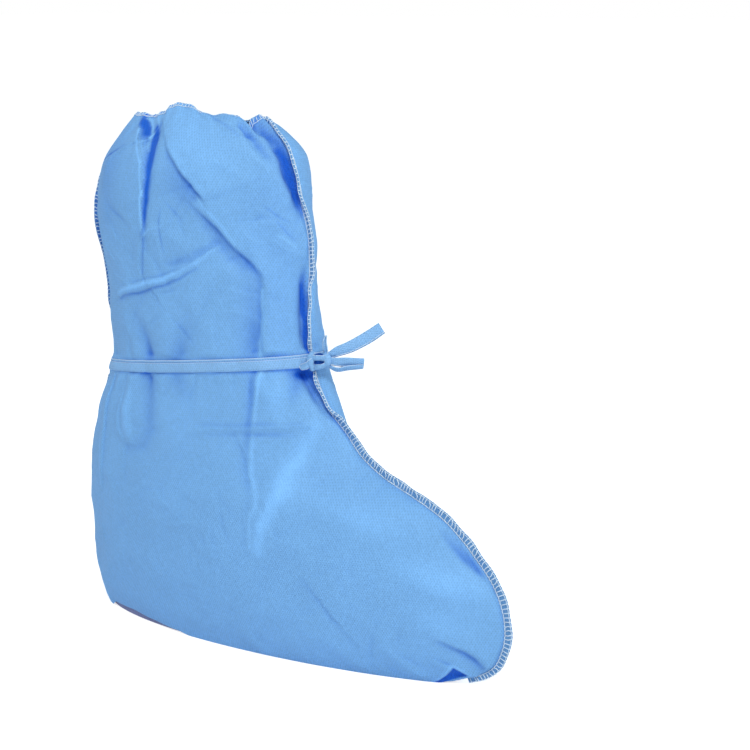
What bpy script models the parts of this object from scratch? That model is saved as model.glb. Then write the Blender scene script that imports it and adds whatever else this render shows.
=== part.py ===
"""Disposable boot cover of thin nonwoven cloth, standing open on its sole.

Metres, +Z up, +X towards the toe. The origin is on the floor under the middle of the sole.
Two side panels are joined by a front and a back seam. A tie runs round the ankle and is
knotted at the front, and an elastic hem gathers the mouth.
"""
import functools
import math

import bmesh
import bpy
import numpy as np
from mathutils import Vector

# Driving dimensions, metres
COVER_HEIGHT = 0.400
COVER_LENGTH = 0.380
COVER_WIDTH = 0.120
CLOTH = 0.0012
SOLE_CLOTH = 0.0014
GAP = 0.0003

SEAM_WIDTH = 0.0065
SEAM_THICKNESS = 0.0022
SEAM_PRESSED = 0.0010
SEAM_FOOT = 0.012

HEM_HEIGHT = 0.007
HEM_THICKNESS = 0.0026

TIE_WIDTH = 0.0095
TIE_THICKNESS = 0.0012
TIE_LEVEL_SHARE = 0.556
TIE_DROP_SHARE = 0.066

KNOT_WIDTH = 0.016
KNOT_DEPTH = 0.011
KNOT_HEIGHT = 0.014
UPPER_TAIL_LENGTH = 0.045
LOWER_TAIL_LENGTH = 0.027

NEAR_RIM_RISE = 0.004
FAR_RIM_SINK = 0.006
RIM_RIPPLE = 0.0015
GATHER_DEPTH = 0.0016
GATHER_REACH = 0.030
GATHERS = 6
EDGE_FADE = 0.010

# Shares that shape the cloth
MOUTH_START_SHARE = 0.88
TIE_DROP_POWER = 1.4
RIM_GATHER_SHARE = 1.2
GATHER_SHIFT_SHARE = 0.15
HEM_FOLD_SHARE = 0.4
HEM_SWELL_SHARE = 0.3
KNOT_NIP_SHARE = 0.82
TAIL_RISE_SHARE = 0.21
UPPER_TAIL_INSET_SHARE = 0.056
LOWER_TAIL_INSET_SHARE = 0.012

# Mesh density
COLUMNS = 27
ROWS_BELOW = 19
ROWS_ABOVE = 15
EVEN_COLUMN_SHARE = 0.45
NEIGHBOUR_SHARE = 0.004
SEAM_SIDE_SHARE = 0.01

# One row for each section. level is a share of COVER_HEIGHT, back and front are shares of
# COVER_LENGTH, width is a share of COVER_WIDTH, and widest is where along the section it lies.
# back_round and front_round go from 0, a sharp edge, to 1, an ellipse. turn is how far the
# front seam has moved round to the near side, as a share of the near half's girth.
SECTIONS = (
    # level, back, front, width, widest, back_round, front_round, turn
    (0.000, -0.498, 0.400, 0.64, 0.40, 0.90, 0.35, 0.000),
    (0.015, -0.508, 0.432, 0.69, 0.42, 0.90, 0.35, 0.000),
    (0.040, -0.519, 0.464, 0.76, 0.43, 0.90, 0.30, 0.000),
    (0.080, -0.526, 0.486, 0.82, 0.43, 0.90, 0.30, 0.000),
    (0.120, -0.531, 0.491, 0.86, 0.43, 0.90, 0.25, 0.000),
    (0.160, -0.535, 0.482, 0.88, 0.43, 0.90, 0.20, 0.000),
    (0.200, -0.538, 0.460, 0.89, 0.43, 0.90, 0.15, 0.000),
    (0.240, -0.539, 0.422, 0.90, 0.43, 0.90, 0.10, 0.000),
    (0.270, -0.538, 0.389, 0.90, 0.43, 0.90, 0.10, 0.000),
    (0.300, -0.534, 0.345, 0.90, 0.43, 0.90, 0.10, 0.000),
    (0.325, -0.528, 0.287, 0.89, 0.43, 0.90, 0.10, 0.000),
    (0.350, -0.520, 0.222, 0.88, 0.44, 0.90, 0.15, 0.000),
    (0.380, -0.508, 0.170, 0.87, 0.45, 0.90, 0.30, 0.000),
    (0.420, -0.499, 0.131, 0.84, 0.47, 0.90, 0.60, 0.000),
    (0.470, -0.477, 0.098, 0.80, 0.49, 0.85, 0.90, 0.020),
    (0.520, -0.462, 0.071, 0.77, 0.50, 0.85, 1.00, 0.025),
    (0.560, -0.464, 0.059, 0.77, 0.50, 0.85, 1.00, 0.025),
    (0.620, -0.474, 0.048, 0.80, 0.50, 0.85, 0.95, 0.015),
    (0.700, -0.487, 0.041, 0.86, 0.50, 0.65, 0.75, 0.000),
    (0.780, -0.511, 0.038, 0.92, 0.50, 0.45, 0.70, 0.000),
    (0.840, -0.500, 0.024, 0.95, 0.50, 0.45, 0.95, 0.000),
    (0.890, -0.473, 0.018, 0.93, 0.50, 0.65, 1.05, 0.012),
    (0.930, -0.446, 0.006, 0.84, 0.50, 0.80, 1.05, 0.016),
    (0.965, -0.415, -0.022, 0.70, 0.50, 0.90, 1.00, 0.012),
    (1.000, -0.385, -0.073, 0.52, 0.50, 0.95, 1.00, 0.000),
)

# One row for each fold. depth is a share of COVER_WIDTH, below zero for a groove, and breadth
# a share of COVER_LENGTH. The path holds (run, level) points: run goes from 0 at the back seam
# to 1 at the front seam.
NEAR_FOLDS = (
    # name, depth, breadth, path
    ("mouth_pleat", -0.105, 0.017, ((0.41, 1.00), (0.47, 0.93), (0.50, 0.86), (0.48, 0.77))),
    ("pleat_ridge", 0.030, 0.018, ((0.35, 0.98), (0.43, 0.88), (0.42, 0.77))),
    ("shaft_ridge", 0.040, 0.024, ((0.54, 0.95), (0.64, 0.90), (0.70, 0.85))),
    ("shaft_crease", -0.035, 0.018, ((0.66, 0.82), (0.74, 0.77), (0.83, 0.71))),
    ("shaft_line", 0.030, 0.020, ((0.74, 0.84), (0.80, 0.76), (0.87, 0.71), (0.86, 0.60))),
    ("back_ridge", 0.030, 0.022, ((0.26, 0.66), (0.45, 0.69), (0.72, 0.76))),
    ("back_hollow", -0.025, 0.024, ((0.28, 0.63), (0.46, 0.66))),
    ("mouth_dent", -0.050, 0.020, ((0.86, 0.99), (0.91, 0.94))),
    ("seam_groove_top", -0.060, 0.018, ((0.93, 0.97), (0.94, 0.90), (0.95, 0.83))),
    ("seam_groove", -0.045, 0.018, ((0.95, 0.76), (0.95, 0.60))),
    ("seam_groove_low", -0.040, 0.018, ((0.95, 0.53), (0.95, 0.46))),
    ("ankle_pleat", -0.045, 0.016, ((0.36, 0.505), (0.39, 0.44), (0.36, 0.37))),
    ("ankle_lobe", 0.035, 0.022, ((0.30, 0.50), (0.28, 0.38))),
    ("instep_fold", 0.025, 0.018, ((0.81, 0.53), (0.76, 0.46), (0.62, 0.30))),
    ("heel_edge", -0.020, 0.016, ((0.15, 0.47), (0.17, 0.29))),
    ("toe_bulge", 0.035, 0.030, ((0.90, 0.22), (0.93, 0.16))),
    ("toe_dent", -0.040, 0.018, ((0.955, 0.26), (0.96, 0.20))),
    ("sole_crease", -0.035, 0.016, ((0.90, 0.07), (0.98, 0.05))),
)

FAR_FOLDS = (
    # name, depth, breadth, path
    ("mouth_pleat", -0.085, 0.017, ((0.52, 1.00), (0.55, 0.90), (0.54, 0.80))),
    ("mouth_ridge", 0.035, 0.022, ((0.66, 0.98), (0.62, 0.86), (0.60, 0.74))),
    ("back_dent", -0.045, 0.020, ((0.20, 0.97), (0.24, 0.88))),
    ("shaft_ridge", 0.035, 0.024, ((0.36, 0.90), (0.46, 0.78), (0.60, 0.68))),
    ("shaft_crease", -0.035, 0.018, ((0.72, 0.84), (0.64, 0.73), (0.58, 0.62))),
    ("front_hollow", -0.025, 0.024, ((0.80, 0.72), (0.84, 0.60))),
    ("ankle_pleat", -0.045, 0.016, ((0.46, 0.51), (0.42, 0.44), (0.44, 0.37))),
    ("ankle_lobe", 0.030, 0.022, ((0.58, 0.51), (0.56, 0.40))),
    ("instep_fold", 0.025, 0.018, ((0.80, 0.53), (0.74, 0.44), (0.60, 0.30))),
    ("heel_edge", -0.020, 0.016, ((0.16, 0.46), (0.20, 0.26))),
    ("foot_fold", 0.022, 0.022, ((0.40, 0.26), (0.58, 0.20), (0.74, 0.18))),
    ("toe_dent", -0.035, 0.018, ((0.93, 0.28), (0.95, 0.20))),
)

# One row for each station of a free end. out, aside and up lead away from the knot's edge as
# shares of the end's length: out is square to the shaft, aside towards the far side. width is a
# share of TIE_WIDTH, and lean the angle in degrees between the tape's breadth and the vertical.
UPPER_TAIL = (
    # out, aside, up, width, lean
    (0.00, 0.00, 0.08, 0.50, 10),
    (0.12, 0.09, 0.12, 0.70, 10),
    (0.32, 0.23, 0.18, 0.95, 15),
    (0.56, 0.41, 0.33, 1.05, 30),
    (0.72, 0.53, 0.46, 1.05, 35),
)
LOWER_TAIL = (
    # out, aside, up, width, lean
    (0.00, 0.00, 0.00, 0.60, 5),
    (0.27, 0.20, -0.04, 1.05, 5),
    (0.56, 0.41, -0.08, 1.15, 0),
    (0.80, 0.59, -0.10, 1.00, 0),
)

# Enough points to measure girth along an outline
OUTLINE_STEPS = 240
TABLE = np.array(SECTIONS)
SLOPES = np.gradient(TABLE, TABLE[:, 0], axis=0)


def section_row(level):
    """The section table's columns at a level, by a smooth curve through its rows."""
    level = min(max(level, 0.0), 1.0)
    row = int(np.clip(np.searchsorted(TABLE[:, 0], level) - 1, 0, len(TABLE) - 2))
    span = TABLE[row + 1, 0] - TABLE[row, 0]
    t = (level - TABLE[row, 0]) / span
    rise = t * t * (3 - 2 * t)
    start = t * (1 - t) ** 2 * span
    end = t * t * (t - 1) * span
    return (TABLE[row] * (1 - rise) + TABLE[row + 1] * rise
            + SLOPES[row] * start + SLOPES[row + 1] * end)


def smooth(value):
    """Goes from 0 to 1 as value does, with level ends."""
    t = min(max(value, 0.0), 1.0)
    return t * t * (3 - 2 * t)


@functools.lru_cache(maxsize=None)
def half_outline(level):
    """Half a section from back to front: x, y and girth so far along it."""
    _, back, front, width, widest, back_round, front_round, _ = section_row(level)
    share = (1 - np.cos(np.linspace(0, math.pi, OUTLINE_STEPS))) / 2
    before = share < widest
    t = np.where(before, share / widest, (1 - share) / (1 - widest))
    power = np.where(before, 1 - back_round / 2, 1 - front_round / 2)
    x = (back + (front - back) * share) * COVER_LENGTH
    y = np.clip(1 - (1 - t) ** 2, 0, 1) ** power * width * COVER_WIDTH / 2
    girth = np.concatenate([[0], np.cumsum(np.hypot(np.diff(x), np.diff(y)))])
    return x, y, girth


def level_at(run, row):
    """The level of a row of cloth, whose rows drop to the back around the ankle as the tie does."""
    below = smooth(row / TIE_LEVEL_SHARE)
    above = smooth((1 - row) / (1 - TIE_LEVEL_SHARE))
    return row - TIE_DROP_SHARE * (1 - run) ** TIE_DROP_POWER * min(below, above)


def bare_point(side, run, row):
    """A point of the cover before its folds. side is -1 on the near panel, 1 on the far one."""
    level = level_at(run, row)
    x, y, girth = half_outline(level)
    turn = section_row(level)[7]
    share = run * (1 + side * turn)
    across = side
    if share > 1:
        share = 2 - share
        across = -side
    along = share * girth[-1]
    mouth = smooth((row - MOUTH_START_SHARE) / (1 - MOUTH_START_SHARE))
    middle = NEAR_RIM_RISE if side < 0 else -FAR_RIM_SINK
    ripple = RIM_RIPPLE * math.cos(2 * math.pi * GATHERS * run)
    rise = mouth * (middle * math.sin(math.pi * run) ** 2 + ripple)
    return Vector((np.interp(along, girth, x),
                   across * np.interp(along, girth, y),
                   level * COVER_HEIGHT + rise))


def outward(side, run, row):
    """The cover's outward direction at a point, from its near neighbours."""
    low, high = max(row - NEIGHBOUR_SHARE, 0), min(row + NEIGHBOUR_SHARE, 1)
    left, right = max(run - NEIGHBOUR_SHARE, 0), min(run + NEIGHBOUR_SHARE, 1)
    along = bare_point(side, right, row) - bare_point(side, left, row)
    up = bare_point(side, run, high) - bare_point(side, run, low)
    normal = along.cross(up) if side < 0 else up.cross(along)
    return normal.normalized()


def fold_height(fold, run, row, girth):
    """How far one fold lifts the cloth at a point."""
    _, depth, breadth, path = fold
    here = np.array((run * girth, row * COVER_HEIGHT))
    nearest = 1.0
    for (run_a, level_a), (run_b, level_b) in zip(path, path[1:]):
        start = np.array((run_a * girth, level_a * COVER_HEIGHT))
        way = np.array((run_b * girth, level_b * COVER_HEIGHT)) - start
        share = np.clip(np.dot(here - start, way) / np.dot(way, way), 0, 1)
        nearest = min(nearest, np.linalg.norm(here - start - way * share))
    return depth * COVER_WIDTH * math.exp(-(nearest / (breadth * COVER_LENGTH)) ** 2)


def cloth_point(side, run, row, lift=0.0):
    """A point of the cover with its folds and gathers, and lift metres outside them."""
    point = bare_point(side, run, row)
    normal = outward(side, run, row)
    girth = half_outline(level_at(run, row))[2][-1]
    height = sum(fold_height(fold, run, row, girth) for fold in (NEAR_FOLDS if side < 0 else FAR_FOLDS))
    from_tie = abs(row - TIE_LEVEL_SHARE) * COVER_HEIGHT
    from_rim = (1 - row) * COVER_HEIGHT
    pull = math.exp(-from_tie / GATHER_REACH) + RIM_GATHER_SHARE * math.exp(-from_rim / GATHER_REACH)
    height += GATHER_DEPTH * pull * math.cos(2 * math.pi * (GATHERS * run + GATHER_SHIFT_SHARE * side))
    edge = smooth(min(run, 1 - run) * girth / EDGE_FADE)
    tied = smooth((from_tie - TIE_WIDTH / 2) / TIE_WIDTH)
    standing = smooth(from_rim / HEM_HEIGHT - 0.5)
    grounded = smooth(row * COVER_HEIGHT / TIE_WIDTH)
    hemmed = HEM_FOLD_SHARE + (1 - HEM_FOLD_SHARE) * standing
    return point + normal * (height * edge * tied * grounded * hemmed + lift)


def column_runs():
    """Runs of the mesh columns, closer together near the two seams."""
    even = np.linspace(0, 1, COLUMNS)
    crowded = (1 - np.cos(math.pi * even)) / 2
    return EVEN_COLUMN_SHARE * even + (1 - EVEN_COLUMN_SHARE) * crowded


def tie_rows():
    """The rows of cloth at the tie's lower and upper edge."""
    half = (TIE_WIDTH / 2 + CLOTH) / COVER_HEIGHT
    return TIE_LEVEL_SHARE - half, TIE_LEVEL_SHARE + half


def top_row():
    """The row of cloth just under the hem, clear of it where the cloth leans in."""
    return 1 - (HEM_HEIGHT + GAP + CLOTH / 2) / COVER_HEIGHT


def mesh_rows():
    """Rows of the panels' mesh, with one at each edge of the tie."""
    low, high = tie_rows()
    below = low * np.linspace(0, 1, ROWS_BELOW + 1)
    above = high + (top_row() - high) * np.linspace(0, 1, ROWS_ABOVE + 1)
    return np.concatenate([below, above])


def sheet_object(name, points, thickness, offset, closed=False):
    """A loft through rows of points, given a wall by Solidify. closed joins each row's ends."""
    mesh = bpy.data.meshes.new(name)
    count = len(points[0])
    steps = count if closed else count - 1
    faces = []
    for row in range(len(points) - 1):
        for step in range(steps):
            here = row * count + step
            there = row * count + (step + 1) % count
            faces.append((here, there, there + count, here + count))
    mesh.from_pydata([tuple(point) for line in points for point in line], [], faces)
    mesh.update()
    piece = bpy.data.objects.new(name, mesh)
    wall = piece.modifiers.new("Wall", "SOLIDIFY")
    wall.thickness = thickness
    wall.offset = offset
    bpy.context.collection.objects.link(piece)
    mesh.shade_smooth()
    return piece


def make_panel(name, side):
    """One side panel, whose wall lies outside the cover's inner surface."""
    runs = column_runs()
    if side > 0:
        runs = runs[::-1]
    lines = []
    for row in mesh_rows():
        line = []
        for run in runs:
            girth = half_outline(level_at(run, row))[2][-1]
            inset = GAP / 2 / girth
            point = cloth_point(side, inset + run * (1 - 2 * inset), row)
            if row == 0:
                point.z += (CLOTH + GAP) * abs(outward(side, run, NEIGHBOUR_SHARE).z)
            line.append(point)
        lines.append(line)
    return sheet_object(name, lines, CLOTH, 1)


def around(row, lift=0.0):
    """Points once round the cover at a row: the near side to the front, then the far side back."""
    runs = column_runs()
    near = [cloth_point(-1, run, row, lift) for run in runs[:-1]]
    far = [cloth_point(1, run, row, lift) for run in runs[:0:-1]]
    return near + far


def make_sole():
    """The flat sole inside the panels' lower edge."""
    line = around(0)
    inner = []
    for index, point in enumerate(line):
        ahead = line[(index + 1) % len(line)]
        behind = line[index - 1]
        way = (ahead - behind).normalized()
        aside = Vector((way.y, -way.x, 0))
        inner.append(Vector((point.x, point.y, 0)) - aside * GAP)
    mesh = bpy.data.meshes.new("sole")
    build = bmesh.new()
    centre = build.verts.new((0, 0, 0))
    ring = [build.verts.new(point) for point in inner]
    for index, vert in enumerate(ring):
        build.faces.new((vert, centre, ring[(index + 1) % len(ring)]))
    build.to_mesh(mesh)
    build.free()
    piece = bpy.data.objects.new("sole", mesh)
    wall = piece.modifiers.new("Wall", "SOLIDIFY")
    wall.thickness = SOLE_CLOTH
    wall.offset = -1
    bpy.context.collection.objects.link(piece)
    return piece


def seam_direction(run, row):
    """The way a sewn edge points: between the outward directions of the two panels."""
    beside = SEAM_SIDE_SHARE if run == 0 else 1 - SEAM_SIDE_SHARE
    return (outward(-1, beside, row) + outward(1, beside, row)).normalized()


def make_seam(name, run):
    """A sewn edge that stands proud of the panels and is pressed down under the tie."""
    lines = []
    rows = mesh_rows()
    rows[0] = SEAM_FOOT
    rows[-1] -= GAP / COVER_HEIGHT
    for row in rows:
        from_tie = abs(row - TIE_LEVEL_SHARE) * COVER_HEIGHT
        free = smooth((from_tie - TIE_WIDTH) / TIE_WIDTH)
        width = SEAM_PRESSED + (SEAM_WIDTH - SEAM_PRESSED) * free
        way = seam_direction(run, row)
        base = cloth_point(-1, run, row)
        line = []
        for share in (0, 1):
            point = base + way * (CLOTH + GAP + width * share)
            point.z = max(point.z, SEAM_THICKNESS / 2)
            line.append(point)
        lines.append(line)
    return sheet_object(name, lines, SEAM_THICKNESS, 0)


def make_hem():
    """The gathered elastic hem on top of the panels."""
    lines = []
    for share, swell in ((0, 0), (0.5, HEM_SWELL_SHARE), (1, 0)):
        row = 1 - HEM_HEIGHT * (1 - share) / COVER_HEIGHT
        lines.append(around(row, swell * HEM_THICKNESS))
    return sheet_object("top_hem", lines, HEM_THICKNESS, 1, closed=True)


def make_tie_band():
    """The tie round the ankle, which passes over the two pressed seams."""
    lines = []
    low, high = tie_rows()
    edge = CLOTH / COVER_HEIGHT
    for row in (low + edge, high - edge):
        line = []
        for side, runs in ((-1, column_runs()[:-1]), (1, column_runs()[:0:-1])):
            for run in runs:
                girth = half_outline(level_at(run, row))[2][-1]
                from_seam = min(run, 1 - run) * girth
                over = smooth((TIE_WIDTH - from_seam) / (TIE_WIDTH - SEAM_THICKNESS * 2))
                lift = CLOTH + GAP + (SEAM_PRESSED + GAP) * over
                line.append(cloth_point(side, run, row, lift))
        lines.append(line)
    return sheet_object("tie_band", lines, TIE_THICKNESS, 1, closed=True)


def knot_place():
    """The knot's centre, in front of the tie at the front seam, and the way out from the cover."""
    way = seam_direction(1, TIE_LEVEL_SHARE)
    stack = CLOTH + GAP + SEAM_PRESSED + GAP + TIE_THICKNESS + GAP
    return cloth_point(-1, 1, TIE_LEVEL_SHARE) + way * (stack + KNOT_DEPTH / 2), way


def make_knot():
    """The knot: a soft block from a coarse cage, nipped in at its middle."""
    centre, way = knot_place()
    mesh = bpy.data.meshes.new("tie_knot")
    build = bmesh.new()
    bmesh.ops.create_cube(build, size=1)
    bmesh.ops.subdivide_edges(build, edges=build.edges[:], cuts=1, use_grid_fill=True)
    side = way.cross(Vector((0, 0, 1))).normalized()
    up = side.cross(way)
    for vert in build.verts:
        along, out, high = vert.co
        nip = KNOT_NIP_SHARE if along == 0 else 1
        place = side * along * KNOT_WIDTH + way * out * KNOT_DEPTH + up * high * nip * KNOT_HEIGHT
        vert.co = centre + place
    bmesh.ops.recalc_face_normals(build, faces=build.faces[:])
    build.to_mesh(mesh)
    build.free()
    piece = bpy.data.objects.new("tie_knot", mesh)
    soft = piece.modifiers.new("Soft", "SUBSURF")
    soft.levels = 1
    soft.render_levels = 1
    bpy.context.collection.objects.link(piece)
    mesh.shade_smooth()
    return piece


def make_tail(name, table, length, rise, inset):
    """A free end of the tie: a leaning strip that leaves the knot's far side."""
    centre, way = knot_place()
    beside = Vector((0, 0, 1)).cross(way).normalized()
    from_centre = KNOT_WIDTH / 2 - inset + GAP + TIE_THICKNESS / 2
    start = centre + beside * from_centre + Vector((0, 0, rise))
    lines = []
    for out, aside, up, width, lean in table:
        place = start + Vector((out, aside, up)) * length
        angle = math.radians(lean)
        half = Vector((-math.sin(angle), 0, math.cos(angle))) * width * TIE_WIDTH / 2
        lines.append([place - half, place, place + half])
    return sheet_object(name, lines, TIE_THICKNESS, 0)


def finish(piece, colour, roughness):
    """Gives a piece its own plain cloth material."""
    material = bpy.data.materials.new(piece.name)
    material.use_nodes = True
    shader = material.node_tree.nodes["Principled BSDF"]
    shader.inputs["Base Color"].default_value = (*colour, 1)
    shader.inputs["Roughness"].default_value = roughness
    shader.inputs["Metallic"].default_value = 0
    piece.data.materials.append(material)


BLUE = (0.16, 0.38, 0.75)
PALE_BLUE = (0.34, 0.55, 0.84)
SOLE_BLUE = (0.30, 0.36, 0.60)


def build_cover():
    for old in list(bpy.data.objects):
        bpy.data.objects.remove(old, do_unlink=True)
    collection = bpy.data.collections.new("boot_cover")
    bpy.context.scene.collection.children.link(collection)
    layer = bpy.context.view_layer.layer_collection.children["boot_cover"]
    bpy.context.view_layer.active_layer_collection = layer
    finish(make_panel("near_panel", -1), BLUE, 0.7)
    finish(make_panel("far_panel", 1), BLUE, 0.7)
    finish(make_sole(), SOLE_BLUE, 0.7)
    finish(make_seam("front_seam", 1), PALE_BLUE, 0.8)
    finish(make_seam("back_seam", 0), PALE_BLUE, 0.8)
    finish(make_hem(), BLUE, 0.7)
    finish(make_tie_band(), PALE_BLUE, 0.7)
    finish(make_knot(), PALE_BLUE, 0.7)
    rise = TAIL_RISE_SHARE * KNOT_HEIGHT
    high, low = UPPER_TAIL_INSET_SHARE * KNOT_WIDTH, LOWER_TAIL_INSET_SHARE * KNOT_WIDTH
    finish(make_tail("tie_tail_upper", UPPER_TAIL, UPPER_TAIL_LENGTH, rise, high), PALE_BLUE, 0.7)
    finish(make_tail("tie_tail_lower", LOWER_TAIL, LOWER_TAIL_LENGTH, -rise, low), PALE_BLUE, 0.7)


build_cover()
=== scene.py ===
"""The looks of a disposable nonwoven boot cover: crumpled cloth, sewn edges and a knotted tie."""
import math
import bpy
import numpy as np
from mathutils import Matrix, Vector


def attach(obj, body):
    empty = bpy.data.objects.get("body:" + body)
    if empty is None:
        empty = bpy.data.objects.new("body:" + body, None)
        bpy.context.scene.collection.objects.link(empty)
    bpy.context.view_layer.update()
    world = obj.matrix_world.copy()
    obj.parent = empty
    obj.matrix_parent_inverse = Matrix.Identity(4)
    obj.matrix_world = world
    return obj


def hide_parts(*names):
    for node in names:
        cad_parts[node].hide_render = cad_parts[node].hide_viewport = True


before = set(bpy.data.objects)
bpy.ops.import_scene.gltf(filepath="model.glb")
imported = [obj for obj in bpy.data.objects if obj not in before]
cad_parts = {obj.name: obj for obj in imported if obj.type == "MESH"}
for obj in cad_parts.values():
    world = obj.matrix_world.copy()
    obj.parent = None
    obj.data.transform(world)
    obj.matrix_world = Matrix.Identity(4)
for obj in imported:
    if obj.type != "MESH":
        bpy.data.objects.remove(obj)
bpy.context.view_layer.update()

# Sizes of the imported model, metres
COVER_HEIGHT = 0.400
COVER_LENGTH = 0.380
COVER_WIDTH = 0.120
CLOTH = 0.0012
GAP = 0.0003
SEAM_WIDTH = 0.0065
SEAM_PRESSED = 0.0010
TIE_WIDTH = 0.0095
TIE_THICKNESS = 0.0012
TIE_LEVEL = 0.556
TIE_DROP = 0.066
TIE_BEND = 1.4
HEM_HEIGHT = 0.007

# Finer sizes that only the looks need, metres
SKIN = 0.00045
EDGE_FADE = 0.0035
STITCH_PITCH = 0.0030
HEM_STITCH_PITCH = 0.0026
THREAD = 0.00030
SEAM_BODY = 0.0012
TAPE_WALL = 0.0009
TIE_SWELL = 0.0008
FLOOR_CLEARANCE = 0.0002
CURL_HEIGHT = 0.009
CURL_INWARD = 0.0046
CURL_DOWN = 0.0030
FOOT_EDGE = 0.022
GUSSET_DEPTH = 0.0024
FLAP_RIDGE_BREADTH = 0.0035
TUCK_DRAG = 0.0030
CRUMPLE_EDGE = 0.0005
RIM_THREAD_HEIGHT = 0.0034
BOND_PITCH = 0.0020
BOND_HEIGHT = 0.00012
FAR_AWAY = 9.0

# Shares: of a fold's depth, of the imported seam's width, of the cloth's height, and of its painted shade
FLAP_RIDGE = 0.16
TUCK_RISE = 0.38
SEAM_SHARE = 0.88
RIM_START = 0.88
NOTCH_START = 0.965
GUSSET_PAINTED_SHADE = 1.3
RIM_SPECKLE = 0.9
BOND_SLANT = 0.62

# Mesh density of the cloth, where its noise begins, and the side that the photograph shows
COLUMNS = 250
ROWS = 390
NOISE_ORIGIN = 500.5
VIEW_AZIMUTH = math.radians(36)

CLOTH_BLUE = (0.185, 0.430, 0.800)
# Painted shade: the deep blue that the cloth's hollows and creases are painted towards, and the knot core's
# colour
SHADE_BLUE = (0.010, 0.120, 0.620)
# The sewn edge's blue is darkened as painted shade between its overlock threads
SEAM_SHADED_BLUE = (0.125, 0.300, 0.590)
TIE_BLUE = (0.235, 0.470, 0.810)
SOLE_BLUE = (0.200, 0.225, 0.430)

# One overlock stitch round a sewn edge: steps along it in pitches, shares of its reach, and sides
OVERLOCK_LOOP = ((-0.10, 0.16, -1), (0, 0.60, -1), (0.10, 0.94, -1), (0.10, 1.03, 0), (0.10, 0.94, 1),
                 (0, 0.60, 1), (-0.10, 0.16, 1))
# The tie's section from its lower to its upper edge: share of half its width, share of its swell
TIE_SECTION = ((-1, 0), (-0.93, 0.5), (-0.6, 0.9), (-0.2, 1), (0.2, 0.9), (0.52, 0.75), (0.60, 0.15),
               (0.70, 0.8), (0.93, 0.7), (1, 0.1))
# The sole's turned-up edge: share of the way to the panels, height in metres
SOLE_EDGE = [(0.994, 0.0008), (0.999, 0.0028), (1, 0.0066)]

# One row for each strip of tape in the knot and its free ends: the node that it stands for, the
# depth of its crease and its breadths in millimetres, points in millimetres to the right of the
# knot's middle, up and towards the viewer, and at each point the way that its breadth lies
KNOT_STRIPS = (
    # name, node, crease, breadths, points, blades
    ("knot_wrap_top", "tie_knot", 0.8, (6, 4.5, 4.2, 6, 7),
     ((-7, 0, 1.5), (-3, 1.6, 5), (2, 1.6, 5.4), (6.5, 0.5, 2.5), (7, -1, -2)),
     ((0, 1, 0.3), (0, 1, 0.5), (0, 1, 0.5), (0, 1, 0.2), (0, 1, 0))),
    ("knot_wrap_low", "tie_knot", 0.7, (5, 4.2, 4, 5),
     ((-5, -6, 1), (-1, -5.4, 4), (3, -4.4, 4.4), (6.5, -2, 2)),
     ((0.3, 1, 0.2), (0.3, 1, 0.3), (0.2, 1, 0.3), (-0.2, 1, 0))),
    ("knot_pinch_left", "tie_knot", 1, (3.5, 4.2, 4.4, 3),
     ((-4.5, 5, 1), (-6.4, 2.5, 3.6), (-6.2, -3, 4.2), (-5, -8, 2.4)),
     ((1, 0.2, 0.4), (1, 0.1, 0.3), (1, 0, 0.2), (1, -0.3, 0.2))),
    ("knot_pinch_right", "tie_knot", 1, (3.4, 4.6, 4.6, 3.2),
     ((4.5, 4.2, 1.6), (6, 2, 4.4), (6.2, -2.6, 4.2), (4.4, -6, 1.4)),
     ((1, 0.2, -0.4), (1, 0.1, -0.3), (1, -0.1, -0.2), (1, -0.5, 0))),
    ("knot_flap", "tie_knot", 0.8, (6, 8.5, 6, 1.4),
     ((-3.4, -1, 3.2), (-7.5, -3, 4.6), (-11.5, -5, 3.4), (-14, -4.4, 2)),
     ((0.3, 1, 0), (0.35, 1, 0.2), (0.5, 1, 0.2), (0.6, 1, 0))),
    ("knot_stub", "tie_knot", 0.9, (4, 4.2, 3, 0.8),
     ((5, 3, 2), (4.6, 8, 2.6), (4.2, 13, 2), (5.2, 17.5, 1)),
     ((1, 0, 1), (1, 0.1, 0.8), (1, 0, 0.7), (1, 0.2, 0.5))),
    ("tail_upper", "tie_tail_upper", 0.9, (5, 8.2, 9.2, 9.2, 8.6),
     ((5.6, 2, 1), (12.4, 5.6, 2.2), (23, 9.3, 1), (36, 16, -1.5), (45.5, 22.4, -2)),
     ((0, 1, 0.5), (-0.15, 1, 0.4), (-0.35, 1, 0.3), (-0.5, 1, 0.1), (-0.62, 1, 0))),
    ("tail_lower", "tie_tail_lower", 0.7, (5, 6.6, 7.6, 7),
     ((5.6, -0.6, 1.6), (11, -1.6, 2.6), (20, -2.2, 1.6), (32.5, -3, 0)),
     ((0, 1, 0.4), (0.05, 1, 0.4), (0.05, 1, 0.3), (0.1, 1, 0.3))),
    ("tail_lower_fold", "tie_tail_lower", 0.9, (3.2, 6.4, 6, 3.6),
     ((6, -4.4, 0.6), (13, -7.6, 1.2), (21, -6.4, 1.4), (32, -5.6, 0.6)),
     ((0, 1, 0.9), (0.05, 1, 1.4), (0, 1, 1.2), (0, 1, 0.6))),
)
# Half sizes of the knot's core and its shift, millimetres to the right, up and towards the viewer
KNOT_CORE = (5.2, 5.0, 3.6)
KNOT_CORE_SHIFT = (0, -0.8, 0.3)

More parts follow.
